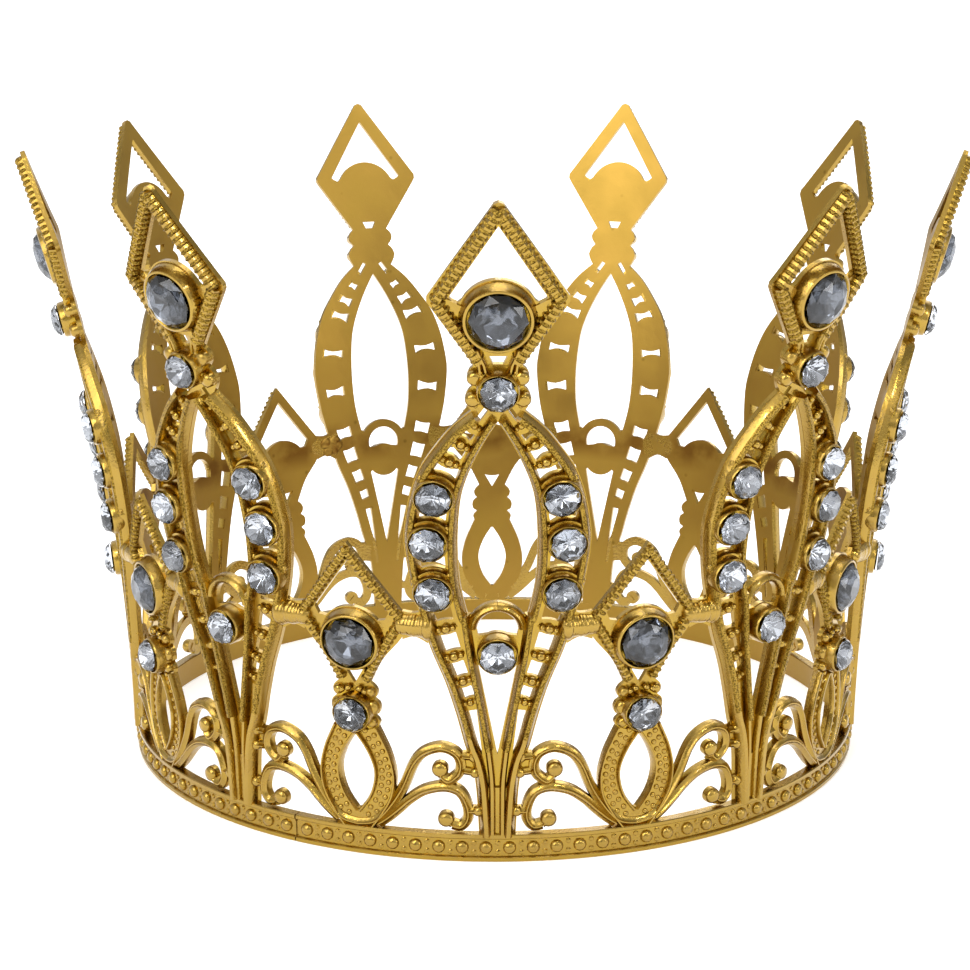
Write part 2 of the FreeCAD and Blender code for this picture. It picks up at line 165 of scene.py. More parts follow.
# ---- User values ---------------------------------------------------------------------------------
class CrownSizes(bpy.types.PropertyGroup):
    bore_radius: bpy.props.FloatProperty(
        name="Bore radius", description="Inside of the rim, where the head goes",
        default=mount("head_bore")["dims"]["r_mm"] * MM, unit="LENGTH")
    rim_height: bpy.props.FloatProperty(
        name="Rim height", description="Height of the beaded rim",
        default=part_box("rim_section_1")[1].z, unit="LENGTH")
    rim_wall: bpy.props.FloatProperty(
        name="Rim wall", description="Thickness of the rim over its rails",
        default=2.0 * MM, unit="LENGTH")
    flare_radius: bpy.props.FloatProperty(
        name="Flare radius", description="Radius on which the wall bends outwards",
        default=375.0 * MM, unit="LENGTH")
    plate: bpy.props.FloatProperty(
        name="Plate", description="Thickness of the cast floor between the rails",
        default=0.9 * MM, unit="LENGTH")
    round_stone: bpy.props.FloatProperty(
        name="Round stone", description="Diameter of the small clear stones",
        default=6.0 * MM, unit="LENGTH")
    tall_crest_stone: bpy.props.FloatProperty(
        name="Tall crest stone", description="Diameter of the stones in the tall crests",
        default=9.6 * MM, unit="LENGTH")
    short_crest_stone: bpy.props.FloatProperty(
        name="Short crest stone", description="Diameter of the stones in the short crests",
        default=9.0 * MM, unit="LENGTH")
    crest_floor: bpy.props.FloatProperty(
        name="Crest seat", description="Height of a crest stone's seat from the back face",
        default=1.0 * MM, unit="LENGTH")
    round_floor: bpy.props.FloatProperty(
        name="Round seat", description="Height of a round stone's seat from the back face",
        default=2.2 * MM, unit="LENGTH")
    rim_beads: bpy.props.IntProperty(
        name="Rim beads", description="Large beads round the whole rim", default=108, min=9)


def srgb(text):
    """An sRGB hex colour as the linear values that Blender works in."""
    values = [int(text[i:i + 2], 16) / 255 for i in (0, 2, 4)]
    return [v / 12.92 if v <= 0.04045 else ((v + 0.055) / 1.055) ** 2.4 for v in values]


def colour_property(name, description, text):
    return bpy.props.FloatVectorProperty(
        name=name, description=description, subtype="COLOR", size=3, min=0, max=1,
        default=srgb(text))


class CrownFinishes(bpy.types.PropertyGroup):
    gold: colour_property("Gold plate", "Bright gold plating on the front", "A28438")
    # Painted glow of light bounced between the rails, laid into the hollows by occlusion; not a
    # colour of the plating
    painted_hollow_glow: colour_property("Recesses", "Gold plating deep between the rails", "AD8C20")
    back: colour_property("Satin back", "Tumbled gold on the flat backs", "987835")
    # On the rough ridges this colour is a painted dark reflection of dim surroundings; on the satin
    # backs it is real brown spots
    spots_and_dark_reflection: colour_property("Worn ridge", "Dark film left on the rough ridges", "5A4414")
    smoke: colour_property("Smoke glass", "Grey glass of the crest stones", "989CA3")
    clear: colour_property("Clear glass", "Glass of the round stones", "F4F6FA")
    foil: colour_property("Foil", "Silver foil behind the clear stones", "D0D3D8")
    dark_foil: colour_property("Dark foil", "Steel-grey foil behind the crest stones", "A9ACB2")
    stain: colour_property("Stain", "Brown film that soldering left on the metal", "6A4619")
    floor: colour_property("Floor", "Studio floor", "FFFFFF")


def sizes():
    return bpy.context.scene.crown_sizes


def finishes():
    return bpy.context.scene.crown_finishes


# ---- From the flat pattern to the flared wall ----------------------------------------------------
def on_wall(across, up, out, turn=0.0):
    """Place and outward direction, in metres, of a flat point; turn is the panel's angle."""
    bore, flare = sizes().bore_radius, sizes().flare_radius
    tilt = up * MM / flare
    radius = bore + flare * (1 - math.cos(tilt))
    x = bore * math.sin(across * MM / bore)
    angle = math.asin(max(-1.0, min(1.0, x / radius))) + turn
    normal = Vector((math.sin(angle) * math.cos(tilt), -math.cos(angle) * math.cos(tilt),
                     -math.sin(tilt)))
    foot = Vector((radius * math.sin(angle), -radius * math.cos(angle), flare * math.sin(tilt)))
    return foot + normal * (out * MM), normal


def curved(points, steps=4):
    """A smooth run through the points, as a Catmull-Rom curve."""
    ends = [points[0]] + list(points) + [points[-1]]
    run = []
    for a, b, c, d in zip(ends, ends[1:], ends[2:], ends[3:]):
        for k in range(steps):
            t = k / steps
            run.append(tuple(
                0.5 * (2 * q + (r - p) * t + (2 * p - 5 * q + 4 * r - s) * t * t
                       + (3 * q - p - 3 * r + s) * t ** 3)
                for p, q, r, s in zip(a, b, c, d)))
    return run + [tuple(points[-1])]


def straight(points):
    """The same run with extra points, so that it can follow the curved wall."""
    spacing = 2.0
    run = []
    for a, b in zip(points, points[1:]):
        count = max(1, round(math.dist(a, b) / spacing))
        run += [(a[0] + (b[0] - a[0]) * k / count, a[1] + (b[1] - a[1]) * k / count)
                for k in range(count)]
    return run + [tuple(points[-1])]


def arc(centre, radius, start, end, count=14):
    """Points round a centre, from one angle to another, in degrees from the right."""
    angles = [math.radians(start + (end - start) * k / count) for k in range(count + 1)]
    return [(centre[0] + radius * math.cos(a), centre[1] + radius * math.sin(a)) for a in angles]


def mirrored(points):
    """The left-hand copy of a right-hand run."""
    return [(-p[0],) + tuple(p[1:]) for p in points]


def both(points):
    """The closed loop of a right-half run; ends on the centre line aren't repeated."""
    first = 1 if points[-1][0] == 0 else 0
    last = -1 if points[0][0] == 0 else None
    return points + mirrored(points)[::-1][first:last]


def beside(points, distance):
    """The same run, moved outwards where it runs down a right half."""
    moved = []
    for k, p in enumerate(points):
        a, b = points[max(k - 1, 0)], points[min(k + 1, len(points) - 1)]
        length = math.dist(a, b)
        moved.append((p[0] - (b[1] - a[1]) / length * distance,
                      p[1] + (b[0] - a[0]) / length * distance))
    return moved


def evenly(points, spacing, inset):
    """Places and directions at even steps along a run."""
    lengths = [math.dist(a, b) for a, b in zip(points, points[1:])]
    total = sum(lengths) - 2 * inset
    count = max(1, round(total / spacing))
    spots = []
    for k in range(count + 1):
        left = inset + total * k / count
        for a, b, length in zip(points, points[1:], lengths):
            if left <= length or b is points[-1]:
                share = left / length
                spots.append(((a[0] + (b[0] - a[0]) * share, a[1] + (b[1] - a[1]) * share),
                              math.atan2(b[1] - a[1], b[0] - a[0])))
                break
            left -= length
    return spots


# ---- Mesh building blocks, in flat millimetres ---------------------------------------------------
GOLD, SATIN, RIDGE = 0, 1, 2    # a casting's materials, in the order that castings() gives
WELD = 1e-5                     # points nearer than this are one point


def paint(bm, first, index):
    """Gives one of the piece's materials to every face from the first on."""
    bm.faces.ensure_lookup_table()
    for face in bm.faces[first:]:
        face.material_index = index


def sweep(bm, path, section, top=GOLD):
    """Carries a closed section of (aside, height) points along a flat path, with filled ends.

    top is the material of the faces that look outwards, such as a ridge's crown."""
    mitre_limit, top_depth = 0.6, 0.5
    first = len(bm.faces)
    frames = []
    for k, p in enumerate(path):
        a, b = path[max(k - 1, 0)], path[min(k + 1, len(path) - 1)]
        along = Vector((b[0] - a[0], b[1] - a[1], 0)).normalized()
        step = Vector((b[0] - p[0], b[1] - p[1], 0))
        square = step.normalized().dot(along) if step.length > 0 else 1.0
        aside = Vector((along.y, -along.x, 0)) / max(square, mitre_limit)
        frames.append(Matrix(((aside.x, 0, along.x, p[0]), (aside.y, 0, along.y, p[1]),
                              (0, 1, 0, 0), (0, 0, 0, 1))))
    ring = [bm.verts.new(frames[0] @ Vector((a, h, 0))) for a, h in section]
    edges = [bm.edges.new((ring[k - 1], ring[k])) for k in range(len(ring))]
    ends = [edges]
    for before, after in zip(frames, frames[1:]):
        grown = bmesh.ops.extrude_edge_only(bm, edges=edges)["geom"]
        verts = [g for g in grown if isinstance(g, bmesh.types.BMVert)]
        edges = [g for g in grown if isinstance(g, bmesh.types.BMEdge)]
        bmesh.ops.transform(bm, matrix=after @ before.inverted(), verts=verts)
    ends.append(edges)
    for loop in ends:
        bmesh.ops.edgeloop_fill(bm, edges=loop)
    paint(bm, first, GOLD)
    crown = max(h for _, h in section)
    for face in bm.faces[first:]:
        if min(v.co.z for v in face.verts) > crown - top_depth:
            face.material_index = top


def plate(bm, outline, holes, low, high, cell=3.0):
    """A flat plate with holes, cut into cells so that it can follow the curved wall."""
    first = len(bm.faces)
    edges = []
    for loop in [outline] + holes:
        verts = [bm.verts.new((p[0], p[1], low)) for p in loop]
        edges += [bm.edges.new((verts[k - 1], verts[k])) for k in range(len(verts))]
    bmesh.ops.triangle_fill(bm, use_beauty=True, edges=edges, normal=(0, 0, 1))
    bm.faces.ensure_lookup_table()
    faces = bm.faces[first:]
    for axis in (0, 1):
        places = [p[axis] for p in outline]
        cuts = int((max(places) - min(places)) / cell)
        for k in range(1, cuts + 1):
            place, normal = [0.0, 0.0, 0.0], [0.0, 0.0, 0.0]
            place[axis] = min(places) + (max(places) - min(places)) * k / (cuts + 1)
            normal[axis] = 1.0
            geom = set(faces)
            for face in faces:
                geom.update(face.verts)
                geom.update(face.edges)
            bmesh.ops.bisect_plane(bm, geom=list(geom), dist=WELD, plane_co=place,
                                   plane_no=normal)
            bm.faces.ensure_lookup_table()
            faces = bm.faces[first:]
    grown = bmesh.ops.extrude_face_region(bm, geom=faces, use_keep_orig=True)["geom"]
    verts = [g for g in grown if isinstance(g, bmesh.types.BMVert)]
    bmesh.ops.translate(bm, vec=(0, 0, high - low), verts=verts)
    paint(bm, first, GOLD)
    for face in bm.faces[first:]:
        if max(v.co.z for v in face.verts) < low + 10 * WELD:
            face.material_index = SATIN


def bead(bm, place, out, size, angle=0.0, stretch=(1.0, 1.0, 1.0), index=GOLD, detail=2):
    """A cast bead; stretch is along, across and out."""
    first = len(bm.faces)
    matrix = (Matrix.Translation((place[0], place[1], out)) @ Matrix.Rotation(angle, 4, "Z")
              @ Matrix.Diagonal((stretch[0] * size, stretch[1] * size, stretch[2] * size, 1)))
    bmesh.ops.create_icosphere(bm, subdivisions=detail, radius=1.0, matrix=matrix)
    paint(bm, first, index)


def turned(bm, place, profile, segments):
    """A closed round form about a stone's axis, from its (radius, out) profile."""
    first = len(bm.faces)
    verts = [bm.verts.new((r, 0, out)) for r, out in profile]
    edges = [bm.edges.new(pair) for pair in zip(verts, verts[1:])]
    bmesh.ops.spin(bm, geom=verts + edges, cent=(0, 0, 0), axis=(0, 0, 1), angle=math.tau,
                   steps=segments, use_merge=True)
    bm.faces.ensure_lookup_table()
    faces = bm.faces[first:]
    moved = list({v for face in faces for v in face.verts})
    bmesh.ops.remove_doubles(bm, verts=moved, dist=WELD)
    bm.faces.ensure_lookup_table()
    moved = list({v for face in bm.faces[first:] for v in face.verts})
    bmesh.ops.translate(bm, vec=(place[0], place[1], 0), verts=moved)
    paint(bm, first, GOLD)


# Sections of the raised lines: (aside, height), with aside growing towards a panel's middle.
EDGE_RAIL = [(-1.33, 0.1), (-1.3, 0.75), (-0.65, 2.15), (-0.4, 2.55), (0.3, 2.6), (0.5, 2.15),
             (0.85, 0.7), (0.85, 0.1)]
INNER_RAIL = [(-0.75, 0.1), (-0.75, 0.7), (-0.5, 2.15), (-0.3, 2.55), (0.3, 2.6), (0.5, 2.15),
              (0.93, 0.75), (0.93, 0.1)]
STRAND = [(-0.42, 0.1), (-0.42, 1.7), (-0.15, 2.1), (0.15, 2.1), (0.42, 1.7), (0.42, 0.1)]
FLUTE = [(-0.6, 0.3), (-0.55, 1.5), (-0.25, 1.95), (0.25, 1.95), (0.55, 1.5), (0.6, 0.3)]
BAND = [(-0.85, 0.1), (-0.85, 1.0), (-0.5, 1.8), (0, 2.1), (0.5, 1.8), (0.85, 1.0), (0.85, 0.1)]
CREST_BAR = [(-1.1, 0.05), (-1.0, 1.2), (-0.6, 2.05), (0.6, 2.05), (0.85, 1.4), (1.0, 0.05)]
SHORT_BAR = [(-0.8, 0.05), (-0.75, 1.1), (-0.45, 1.75), (0.45, 1.75), (0.6, 1.2), (0.7, 0.05)]
FILL = [(-1.9, 0.1), (-1.9, 1.45), (1.9, 1.45), (1.9, 0.1)]
LEDGE = [(-0.4, 0.1), (-0.4, 1.6), (-0.15, 2.1), (0.2, 2.1), (0.45, 1.7), (0.45, 0.1)]
COLLAR_BAR = [(-0.8, 0.1), (-0.75, 1.9), (-0.4, 2.3), (0.4, 2.3), (0.75, 1.9), (0.8, 0.1)]
CORNER_BAR = [(-0.9, 0.1), (-0.8, 1.2), (0.8, 1.2), (0.9, 0.1)]
WEB = [(-0.9, 0.0), (-0.9, 0.9), (0.9, 0.9), (0.9, 0.0)]
FINE_EDGE = [(-0.3, 0.1), (-0.3, 1.5), (-0.12, 1.9), (0.12, 1.9), (0.3, 1.5), (0.3, 0.1)]
WIRE = [(-0.95, 0.05), (-1.0, 0.6), (-0.8, 1.35), (-0.3, 1.6), (-0.1, 1.95), (0.1, 1.95),
        (0.3, 1.6), (0.8, 1.35), (1.0, 0.6), (0.95, 0.05)]


def widened(section, share):
    """A section with its width changed and its height kept."""
    return [(aside * share, height) for aside, height in section]


def doubled(bm):
    """Adds the left half: a mirrored copy of everything so far."""
    geom = bm.verts[:] + bm.edges[:] + bm.faces[:]
    copied = bmesh.ops.duplicate(bm, geom=geom)["geom"]
    verts = [g for g in copied if isinstance(g, bmesh.types.BMVert)]
    bmesh.ops.scale(bm, vec=(-1, 1, 1), verts=verts)


def joined(bm, other):
    """Moves another flat mesh into this one."""
    mesh = bpy.data.meshes.new("joined")
    other.to_mesh(mesh)
    other.free()
    bm.from_mesh(mesh)
    bpy.data.meshes.remove(mesh)


def cup(bm, place, stone, wall, flare, height, floor):
    """A stone's cup: a cone with a rounded lip, open down to the seat's floor."""
    mouth = stone / 2 + 0.05
    lip = mouth + wall
    foot = lip + flare
    profile = [(0, 0.3), (foot, 0.3), (foot, 0.9), (lip + 0.1, height - 0.4),
               (lip, height - 0.12), (lip - 0.35 * wall, height), (mouth + 0.3 * wall, height),
               (mouth, height - 0.2), (mouth, floor - 0.1), (0, floor - 0.1)]
    turned(bm, place, profile, 48 if stone > 8 else 32)


def drum(bm, place, radius, height):
    """A round boss with a rounded top, drawn straight out of the mould."""
    profile = [(0, 0.2), (radius, 0.2), (radius, height - 1.1), (0.95 * radius, height - 0.7),
               (0.8 * radius, height - 0.3), (0.5 * radius, height - 0.07), (0, height)]
    turned(bm, place, profile, 28)


def crescent(bm, place, lean):
    """The raised ledge that hugs the upper half of a side stone's cup, beaded at its ends."""
    radius, bead_radius = 3.6, 3.9
    sweep(bm, arc(place, radius, 155 + lean, 25 + lean, 16), LEDGE)
    for degrees in (142, 38):
        spot = arc(place, bead_radius, degrees + lean, degrees + lean, 1)[0]
        bead(bm, spot, 1.75, 0.55)


def three_beads(bm, place, angle, width):
    """A rung across a loop's channel: a large bead between two small ones."""
    lean = angle + math.pi / 2
    largest = 0.9
    big = min(largest, 0.27 * width + 0.15)
    small = 0.62 * big
    bead(bm, place, 1.3, big, angle, (0.95, 1.0, 1.0))
    for sign in (-1, 1):
        step = sign * (big + 0.55 * small)
        bead(bm, (place[0] + math.cos(lean) * step, place[1] + math.sin(lean) * step), 1.35, small)
    bar = (0.42, width / 2 + 0.5, 0.5)
    bead(bm, place, 0.75, 1.0, angle, stretch=bar)


def hole_of(across, up, width, height, pinch, angle):
    """A channel hole; the round webs above and below it may pinch it in like a bow tie."""
    corner = 0.12
    half, tall, waist = width / 2, height / 2, height / 2 - pinch * height
    quarter = [(0, waist), (0.45 * half, waist + 0.3 * (tall - waist)),
               (half - corner, tall), (half, tall - corner)]
    right = quarter + [(x, -y) for x, y in quarter[::-1]]
    lean = angle + math.pi / 2
    shape = right + [(-x, y) for x, y in right[1:-1][::-1]]
    return [(across + x * math.cos(lean) - y * math.sin(lean),
             up + x * math.sin(lean) + y * math.cos(lean)) for x, y in shape]


def slot_of(ends):
    """A straight slot between two ends of (across, up, width)."""
    (x0, y0, w0), (x1, y1, w1) = ends
    length = math.hypot(x1 - x0, y1 - y0)
    sx, sy = (y1 - y0) / length / 2, -(x1 - x0) / length / 2
    return [(x0 + sx * w0, y0 + sy * w0), (x1 + sx * w1, y1 + sy * w1),
            (x1 - sx * w1, y1 - sy * w1), (x0 - sx * w0, y0 - sy * w0)]


def roped(bm, run, bar, spacing, inset):
    """A border: a drafted bar wrapped in cast ribs, so that it looks like a rope.

    inset is how far the first and last ribs stand from the run's ends."""
    sweep(bm, straight(run), bar)
    top = max(height for _, height in bar) + 0.35
    half = max(aside for aside, _ in bar) + 0.3
    for place, angle in evenly(run, spacing, inset):
        bead(bm, place, 0.52 * top, 1.0, angle, (0.47 * spacing, half, 0.5 * top), RIDGE)


def make_piece(name, flat, turn, materials, replaced):
    """Bends a copy of a flat mesh onto the wall at an angle and makes it a piece."""
    bm = flat.copy()
    for vert in bm.verts:
        vert.co = on_wall(vert.co.x, vert.co.y, vert.co.z, turn)[0]
    add_piece(name, bm, materials, replaced)


def add_piece(name, bm, materials, replaced, smooth=38.0):
    """Makes a mesh a piece on the body; edges sharper than smooth, in degrees, stay crisp."""
    mesh = bpy.data.meshes.new(name)
    bm.to_mesh(mesh)
    bm.free()
    for material in materials:
        mesh.materials.append(material)
    mesh.polygons.foreach_set("use_smooth", [smooth > 0] * len(mesh.polygons))
    if smooth > 0:
        mesh.set_sharp_from_angle(angle=math.radians(smooth))
    piece = bpy.data.objects.new(name, mesh)
    bpy.context.scene.collection.objects.link(piece)
    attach(piece, BODY)
    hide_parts(*replaced)


# ---- Materials -----------------------------------------------------------------------------------
COLOUR_A, COLOUR_B, COLOUR = 6, 7, 2    # sockets of a Mix node that mixes colours


def node(owner, kind, settings=None, links=None):
    """Adds a node to a material or world, sets its properties and sockets, and links inputs.

    A socket goes by its name or number; a Map Range has 1 and 2 for its range, 3 and 4 for
    what that becomes."""
    made = owner.node_tree.nodes.new(kind)
    for key, value in (settings or {}).items():
        if isinstance(key, str) and hasattr(made, key):
            setattr(made, key, value)
        else:
            made.inputs[key].default_value = value
    for key, source in (links or {}).items():
        owner.node_tree.links.new(source, made.inputs[key])
    return made


def new_material(name):
    """A material and its shader; where the material is there already, the shader is None."""
    material = bpy.data.materials.get(name)
    if material:
        return material, None
    material = bpy.data.materials.new(name)
    material.use_nodes = True
    material.node_tree.nodes.clear()
    shader = node(material, "ShaderNodeBsdfPrincipled")
    node(material, "ShaderNodeOutputMaterial", links={0: shader.outputs[0]})
    return material, shader


def rgba(colour):
    return (*colour, 1.0)


def gold_plate():
    """Bright gold electroplate on a zinc casting: mirror-like highs, painted warm glow in hollows,
    fine cast skin.
    """
    material, shader = new_material("gold electroplate on casting")
    if shader is None:
        return material
    look = finishes()
    place = node(material, "ShaderNodeTexCoord").outputs["Object"]
    # Painted glow: where ambient occlusion finds hollows, the colour turns to the hollow-glow colour,
    # standing in for light bounced between the rails
    occlusion = node(material, "ShaderNodeAmbientOcclusion", {"Distance": 2.2 * MM, "samples": 6})
    painted_glow = node(material, "ShaderNodeMapRange", {1: 0.25, 2: 0.85, 3: 1.0, 4: 0.0},
                 {0: occlusion.outputs["AO"]}).outputs[0]
    blotch = node(material, "ShaderNodeTexNoise", {"Scale": 1 / (5 * MM), "Detail": 4.0},
                  {"Vector": place}).outputs["Fac"]
    tone = node(material, "ShaderNodeMapRange", {1: 0.35, 2: 0.7, 3: 0.0, 4: 0.45},
                {0: blotch}).outputs[0]
    gold = node(material, "ShaderNodeMix",
                {"data_type": "RGBA", COLOUR_A: rgba(look.gold), COLOUR_B: rgba(look.back)},
                {"Factor": tone}).outputs[COLOUR]
    colour = node(material, "ShaderNodeMix", {"data_type": "RGBA", COLOUR_B: rgba(look.painted_hollow_glow)},
                  {"Factor": painted_glow, COLOUR_A: gold}).outputs[COLOUR]
    skin = node(material, "ShaderNodeTexNoise", {"Scale": 1 / (0.55 * MM), "Detail": 3.0},
                {"Vector": place}).outputs["Fac"]
    rough = node(material, "ShaderNodeMapRange", {1: 0.3, 2: 0.75, 3: 0.17, 4: 0.34},
                 {0: blotch}).outputs[0]
    bump = node(material, "ShaderNodeBump", {"Strength": 0.55, "Distance": 0.1 * MM},
                {"Height": skin}).outputs[0]
    shader.inputs["Metallic"].default_value = 1.0
    shader.inputs["Coat Weight"].default_value = 0.35
    shader.inputs["Coat Roughness"].default_value = 0.1
    links = material.node_tree.links
    links.new(colour, shader.inputs["Base Color"])
    links.new(rough, shader.inputs["Roughness"])
    links.new(bump, shader.inputs["Normal"])
    return material


def satin_back():
    """The castings' flat backs: tumbled satin gold with shallow dents, pits and brown spots."""
    material, shader = new_material("satin tumbled gold back")
    if shader is None:
        return material
    look = finishes()
    place = node(material, "ShaderNodeTexCoord").outputs["Object"]
    cloud = node(material, "ShaderNodeTexNoise", {"Scale": 1 / (9 * MM), "Detail": 5.0},
                 {"Vector": place}).outputs["Fac"]
    tone = node(material, "ShaderNodeMapRange", {1: 0.35, 2: 0.7, 3: 0.0, 4: 0.6},
                {0: cloud}).outputs[0]
    spots = node(material, "ShaderNodeTexVoronoi", {"Scale": 1 / (6.5 * MM)},
                 {"Vector": place}).outputs["Distance"]
    spot = node(material, "ShaderNodeMapRange", {1: 0.02, 2: 0.09, 3: 0.5, 4: 0.0},
                {0: spots}).outputs[0]
    height = node(material, "ShaderNodeSeparateXYZ", links={0: place}).outputs["Z"]
    above = node(material, "ShaderNodeMath", {"operation": "SUBTRACT", 1: CROSSBAR * MM},
                 {0: height}).outputs[0]
    away = node(material, "ShaderNodeMath", {"operation": "ABSOLUTE"}, {0: above}).outputs[0]
    near = node(material, "ShaderNodeMapRange", {1: 1.0 * MM, 2: 5.0 * MM, 3: 1.0, 4: 0.0},
                {0: away}).outputs[0]
    patch = node(material, "ShaderNodeMapRange", {1: 0.42, 2: 0.6, 3: 0.0, 4: 0.85},
                 {0: cloud}).outputs[0]
    scorch = node(material, "ShaderNodeMath", {"operation": "MULTIPLY"},
                  {0: near, 1: patch}).outputs[0]
    base = node(material, "ShaderNodeMix",
                {"data_type": "RGBA", COLOUR_A: rgba(look.back), COLOUR_B: rgba(look.gold)},
                {"Factor": tone}).outputs[COLOUR]
    stained = node(material, "ShaderNodeMix", {"data_type": "RGBA", COLOUR_B: rgba(look.stain)},
                   {"Factor": scorch, COLOUR_A: base}).outputs[COLOUR]
    colour = node(material, "ShaderNodeMix", {"data_type": "RGBA", COLOUR_B: rgba(look.spots_and_dark_reflection)},
                  {"Factor": spot, COLOUR_A: stained}).outputs[COLOUR]
    grain = node(material, "ShaderNodeTexNoise", {"Scale": 1 / (0.35 * MM), "Detail": 3.0},
                 {"Vector": place}).outputs["Fac"]
    rough = node(material, "ShaderNodeMapRange", {1: 0.3, 2: 0.7, 3: 0.3, 4: 0.46},
                 {0: cloud}).outputs[0]
    fine = node(material, "ShaderNodeBump", {"Strength": 0.25, "Distance": 0.05 * MM},
                {"Height": grain}).outputs[0]
    dents = node(material, "ShaderNodeBump", {"Strength": 0.3, "Distance": 0.5 * MM},
                 {"Height": cloud, "Normal": fine}).outputs[0]
    shader.inputs["Metallic"].default_value = 1.0
    links = material.node_tree.links
    links.new(colour, shader.inputs["Base Color"])
    links.new(rough, shader.inputs["Roughness"])
    links.new(dents, shader.inputs["Normal"])
    return material


def rough_ridge():
    """Tops of the rails: as-cast grain, with a painted dark reflection between bright gold specks."""
    material, shader = new_material("rough cast gold ridge")
    if shader is None:
        return material
    look = finishes()
    place = node(material, "ShaderNodeTexCoord").outputs["Object"]
    grain = node(material, "ShaderNodeTexNoise", {"Scale": 1 / (0.26 * MM), "Detail": 2.0},
                 {"Vector": place}).outputs["Fac"]
    speck = node(material, "ShaderNodeMapRange", {1: 0.41, 2: 0.56, 3: 0.0, 4: 1.0},
                 {0: grain}).outputs[0]
    # Painted dark reflection of dim surroundings on the ridge tops, broken by bright gold specks
    colour = node(material, "ShaderNodeMix",
                  {"data_type": "RGBA", COLOUR_A: rgba(look.spots_and_dark_reflection), COLOUR_B: rgba(look.gold)},
                  {"Factor": speck}).outputs[COLOUR]
    bump = node(material, "ShaderNodeBump", {"Strength": 0.8, "Distance": 0.15 * MM},
                {"Height": grain}).outputs[0]
    shader.inputs["Metallic"].default_value = 1.0
    shader.inputs["Roughness"].default_value = 0.38
    links = material.node_tree.links
    links.new(colour, shader.inputs["Base Color"])
    links.new(bump, shader.inputs["Normal"])
    return material


def glass(name, colour, roughness):
    """Cut glass: clear, smooth and bright at its edges."""
    material, shader = new_material(name)
    if shader is None:
        return material
    shader.inputs["Base Color"].default_value = rgba(colour)
    shader.inputs["Roughness"].default_value = roughness
    shader.inputs["IOR"].default_value = 1.56
    shader.inputs["Transmission Weight"].default_value = 1.0
    return material


def foil(name, colour, share):
    """Foil behind a facet, with painted light and shade: each copy's colour is darkened by its share.
    """
    material, shader = new_material(name)
    if shader is None:
        return material
    # Painted shade: the foil's colour is darkened by share, standing in for a facet turned from the
    # light
    shader.inputs["Base Color"].default_value = rgba([v * share for v in colour])
    shader.inputs["Metallic"].default_value = 1.0
    shader.inputs["Roughness"].default_value = 0.08
    return material


def solder_metal():
    """Dull soft solder under gold flash, with brown flux burnt into its hollows."""
    material, shader = new_material("gold-washed soft solder")
    if shader is None:
        return material
    look = finishes()
    place = node(material, "ShaderNodeTexCoord").outputs["Object"]
    burn = node(material, "ShaderNodeTexNoise", {"Scale": 1 / (1.6 * MM), "Detail": 3.0},
                {"Vector": place}).outputs["Fac"]
    share = node(material, "ShaderNodeMapRange", {1: 0.4, 2: 0.65, 3: 0.0, 4: 0.9},
                 {0: burn}).outputs[0]
    colour = node(material, "ShaderNodeMix",
                  {"data_type": "RGBA", COLOUR_A: rgba(look.back), COLOUR_B: rgba(look.stain)},
                  {"Factor": share}).outputs[COLOUR]
    shader.inputs["Metallic"].default_value = 1.0
    shader.inputs["Roughness"].default_value = 0.42
    material.node_tree.links.new(colour, shader.inputs["Base Color"])
    return material


def castings():
    """A casting's materials, in the order of GOLD, SATIN and RIDGE."""
    return [gold_plate(), satin_back(), rough_ridge()]


# ---- The tall panel ------------------------------------------------------------------------------
# A crest stone's or round stone's cup meets its hole's edge this far from the stone.
TALL_CREST_EDGE = 1.7
SHORT_CREST_EDGE = 1.5
ROUND_EDGE = 0.6
# Cups: wall, how much wider the foot is than the lip, and height.
TALL_CUP = (0.6, 0.8, 2.95)
SHORT_CUP = (0.5, 0.75, 2.95)
ROUND_CUP = (0.22, 0.2, 3.5)
# How far the middle of each raised line stands inside its outline.
SIDE_RAIL_INSET = 1.35
ALMOND_RAIL_INSET = 0.95
TALL_BAR_INSET = 1.2
SHORT_BAR_INSET = 0.95
FINE_EDGE_INSET = 0.32
TALL_RIB = 1.16                 # from one rib of a border to the next
SHORT_RIB = 1.15


def tall_plate(bm):
    """The tall panel's floor with all its holes."""
    size = sizes()
    head = straight(TALL_HEAD + [TALL_NECK])
    outline = both(head + curved(TALL_COLLAR, 2)[1:] + curved(TALL_SIDE)[1:])
    crest_cup = size.tall_crest_stone / MM / 2 + TALL_CREST_EDGE
    round_cup = size.round_stone / MM / 2 + ROUND_EDGE
    crest_hole = both(straight([CREST_TOP] + CREST_CORNERS)
                      + arc(TALL_CREST, crest_cup, 22, 90)[1:])
    almond = both(curved(ALMOND_SIDE) + arc(ARCH_CENTRE, ARCH_OUTER, 30, 90)[1:])
    lens = both(arc(ARCH_CENTRE, ARCH_INNER, -18, 90)[::-1] + arc(LEG_ROUND, round_cup, 62, 90))
    legs = both(arc(LEG_ROUND, round_cup, -38, -90)[::-1] + [LEG_TOP, LEG_TIP])
    holes = [crest_hole, almond, lens, legs, both(NECK_HOLE)]
    for k, rung_hole in enumerate(RUNG_HOLES):
        hole = hole_of(*rung_hole, channel_angle(k))
        holes += [hole, mirrored(hole)]
    for ends in (SHOULDER_SLOT, SHANK_SLOT):
        slot = slot_of(ends)
        holes += [slot, mirrored(slot)]
    plate(bm, outline, holes, 0.0, size.plate / MM)


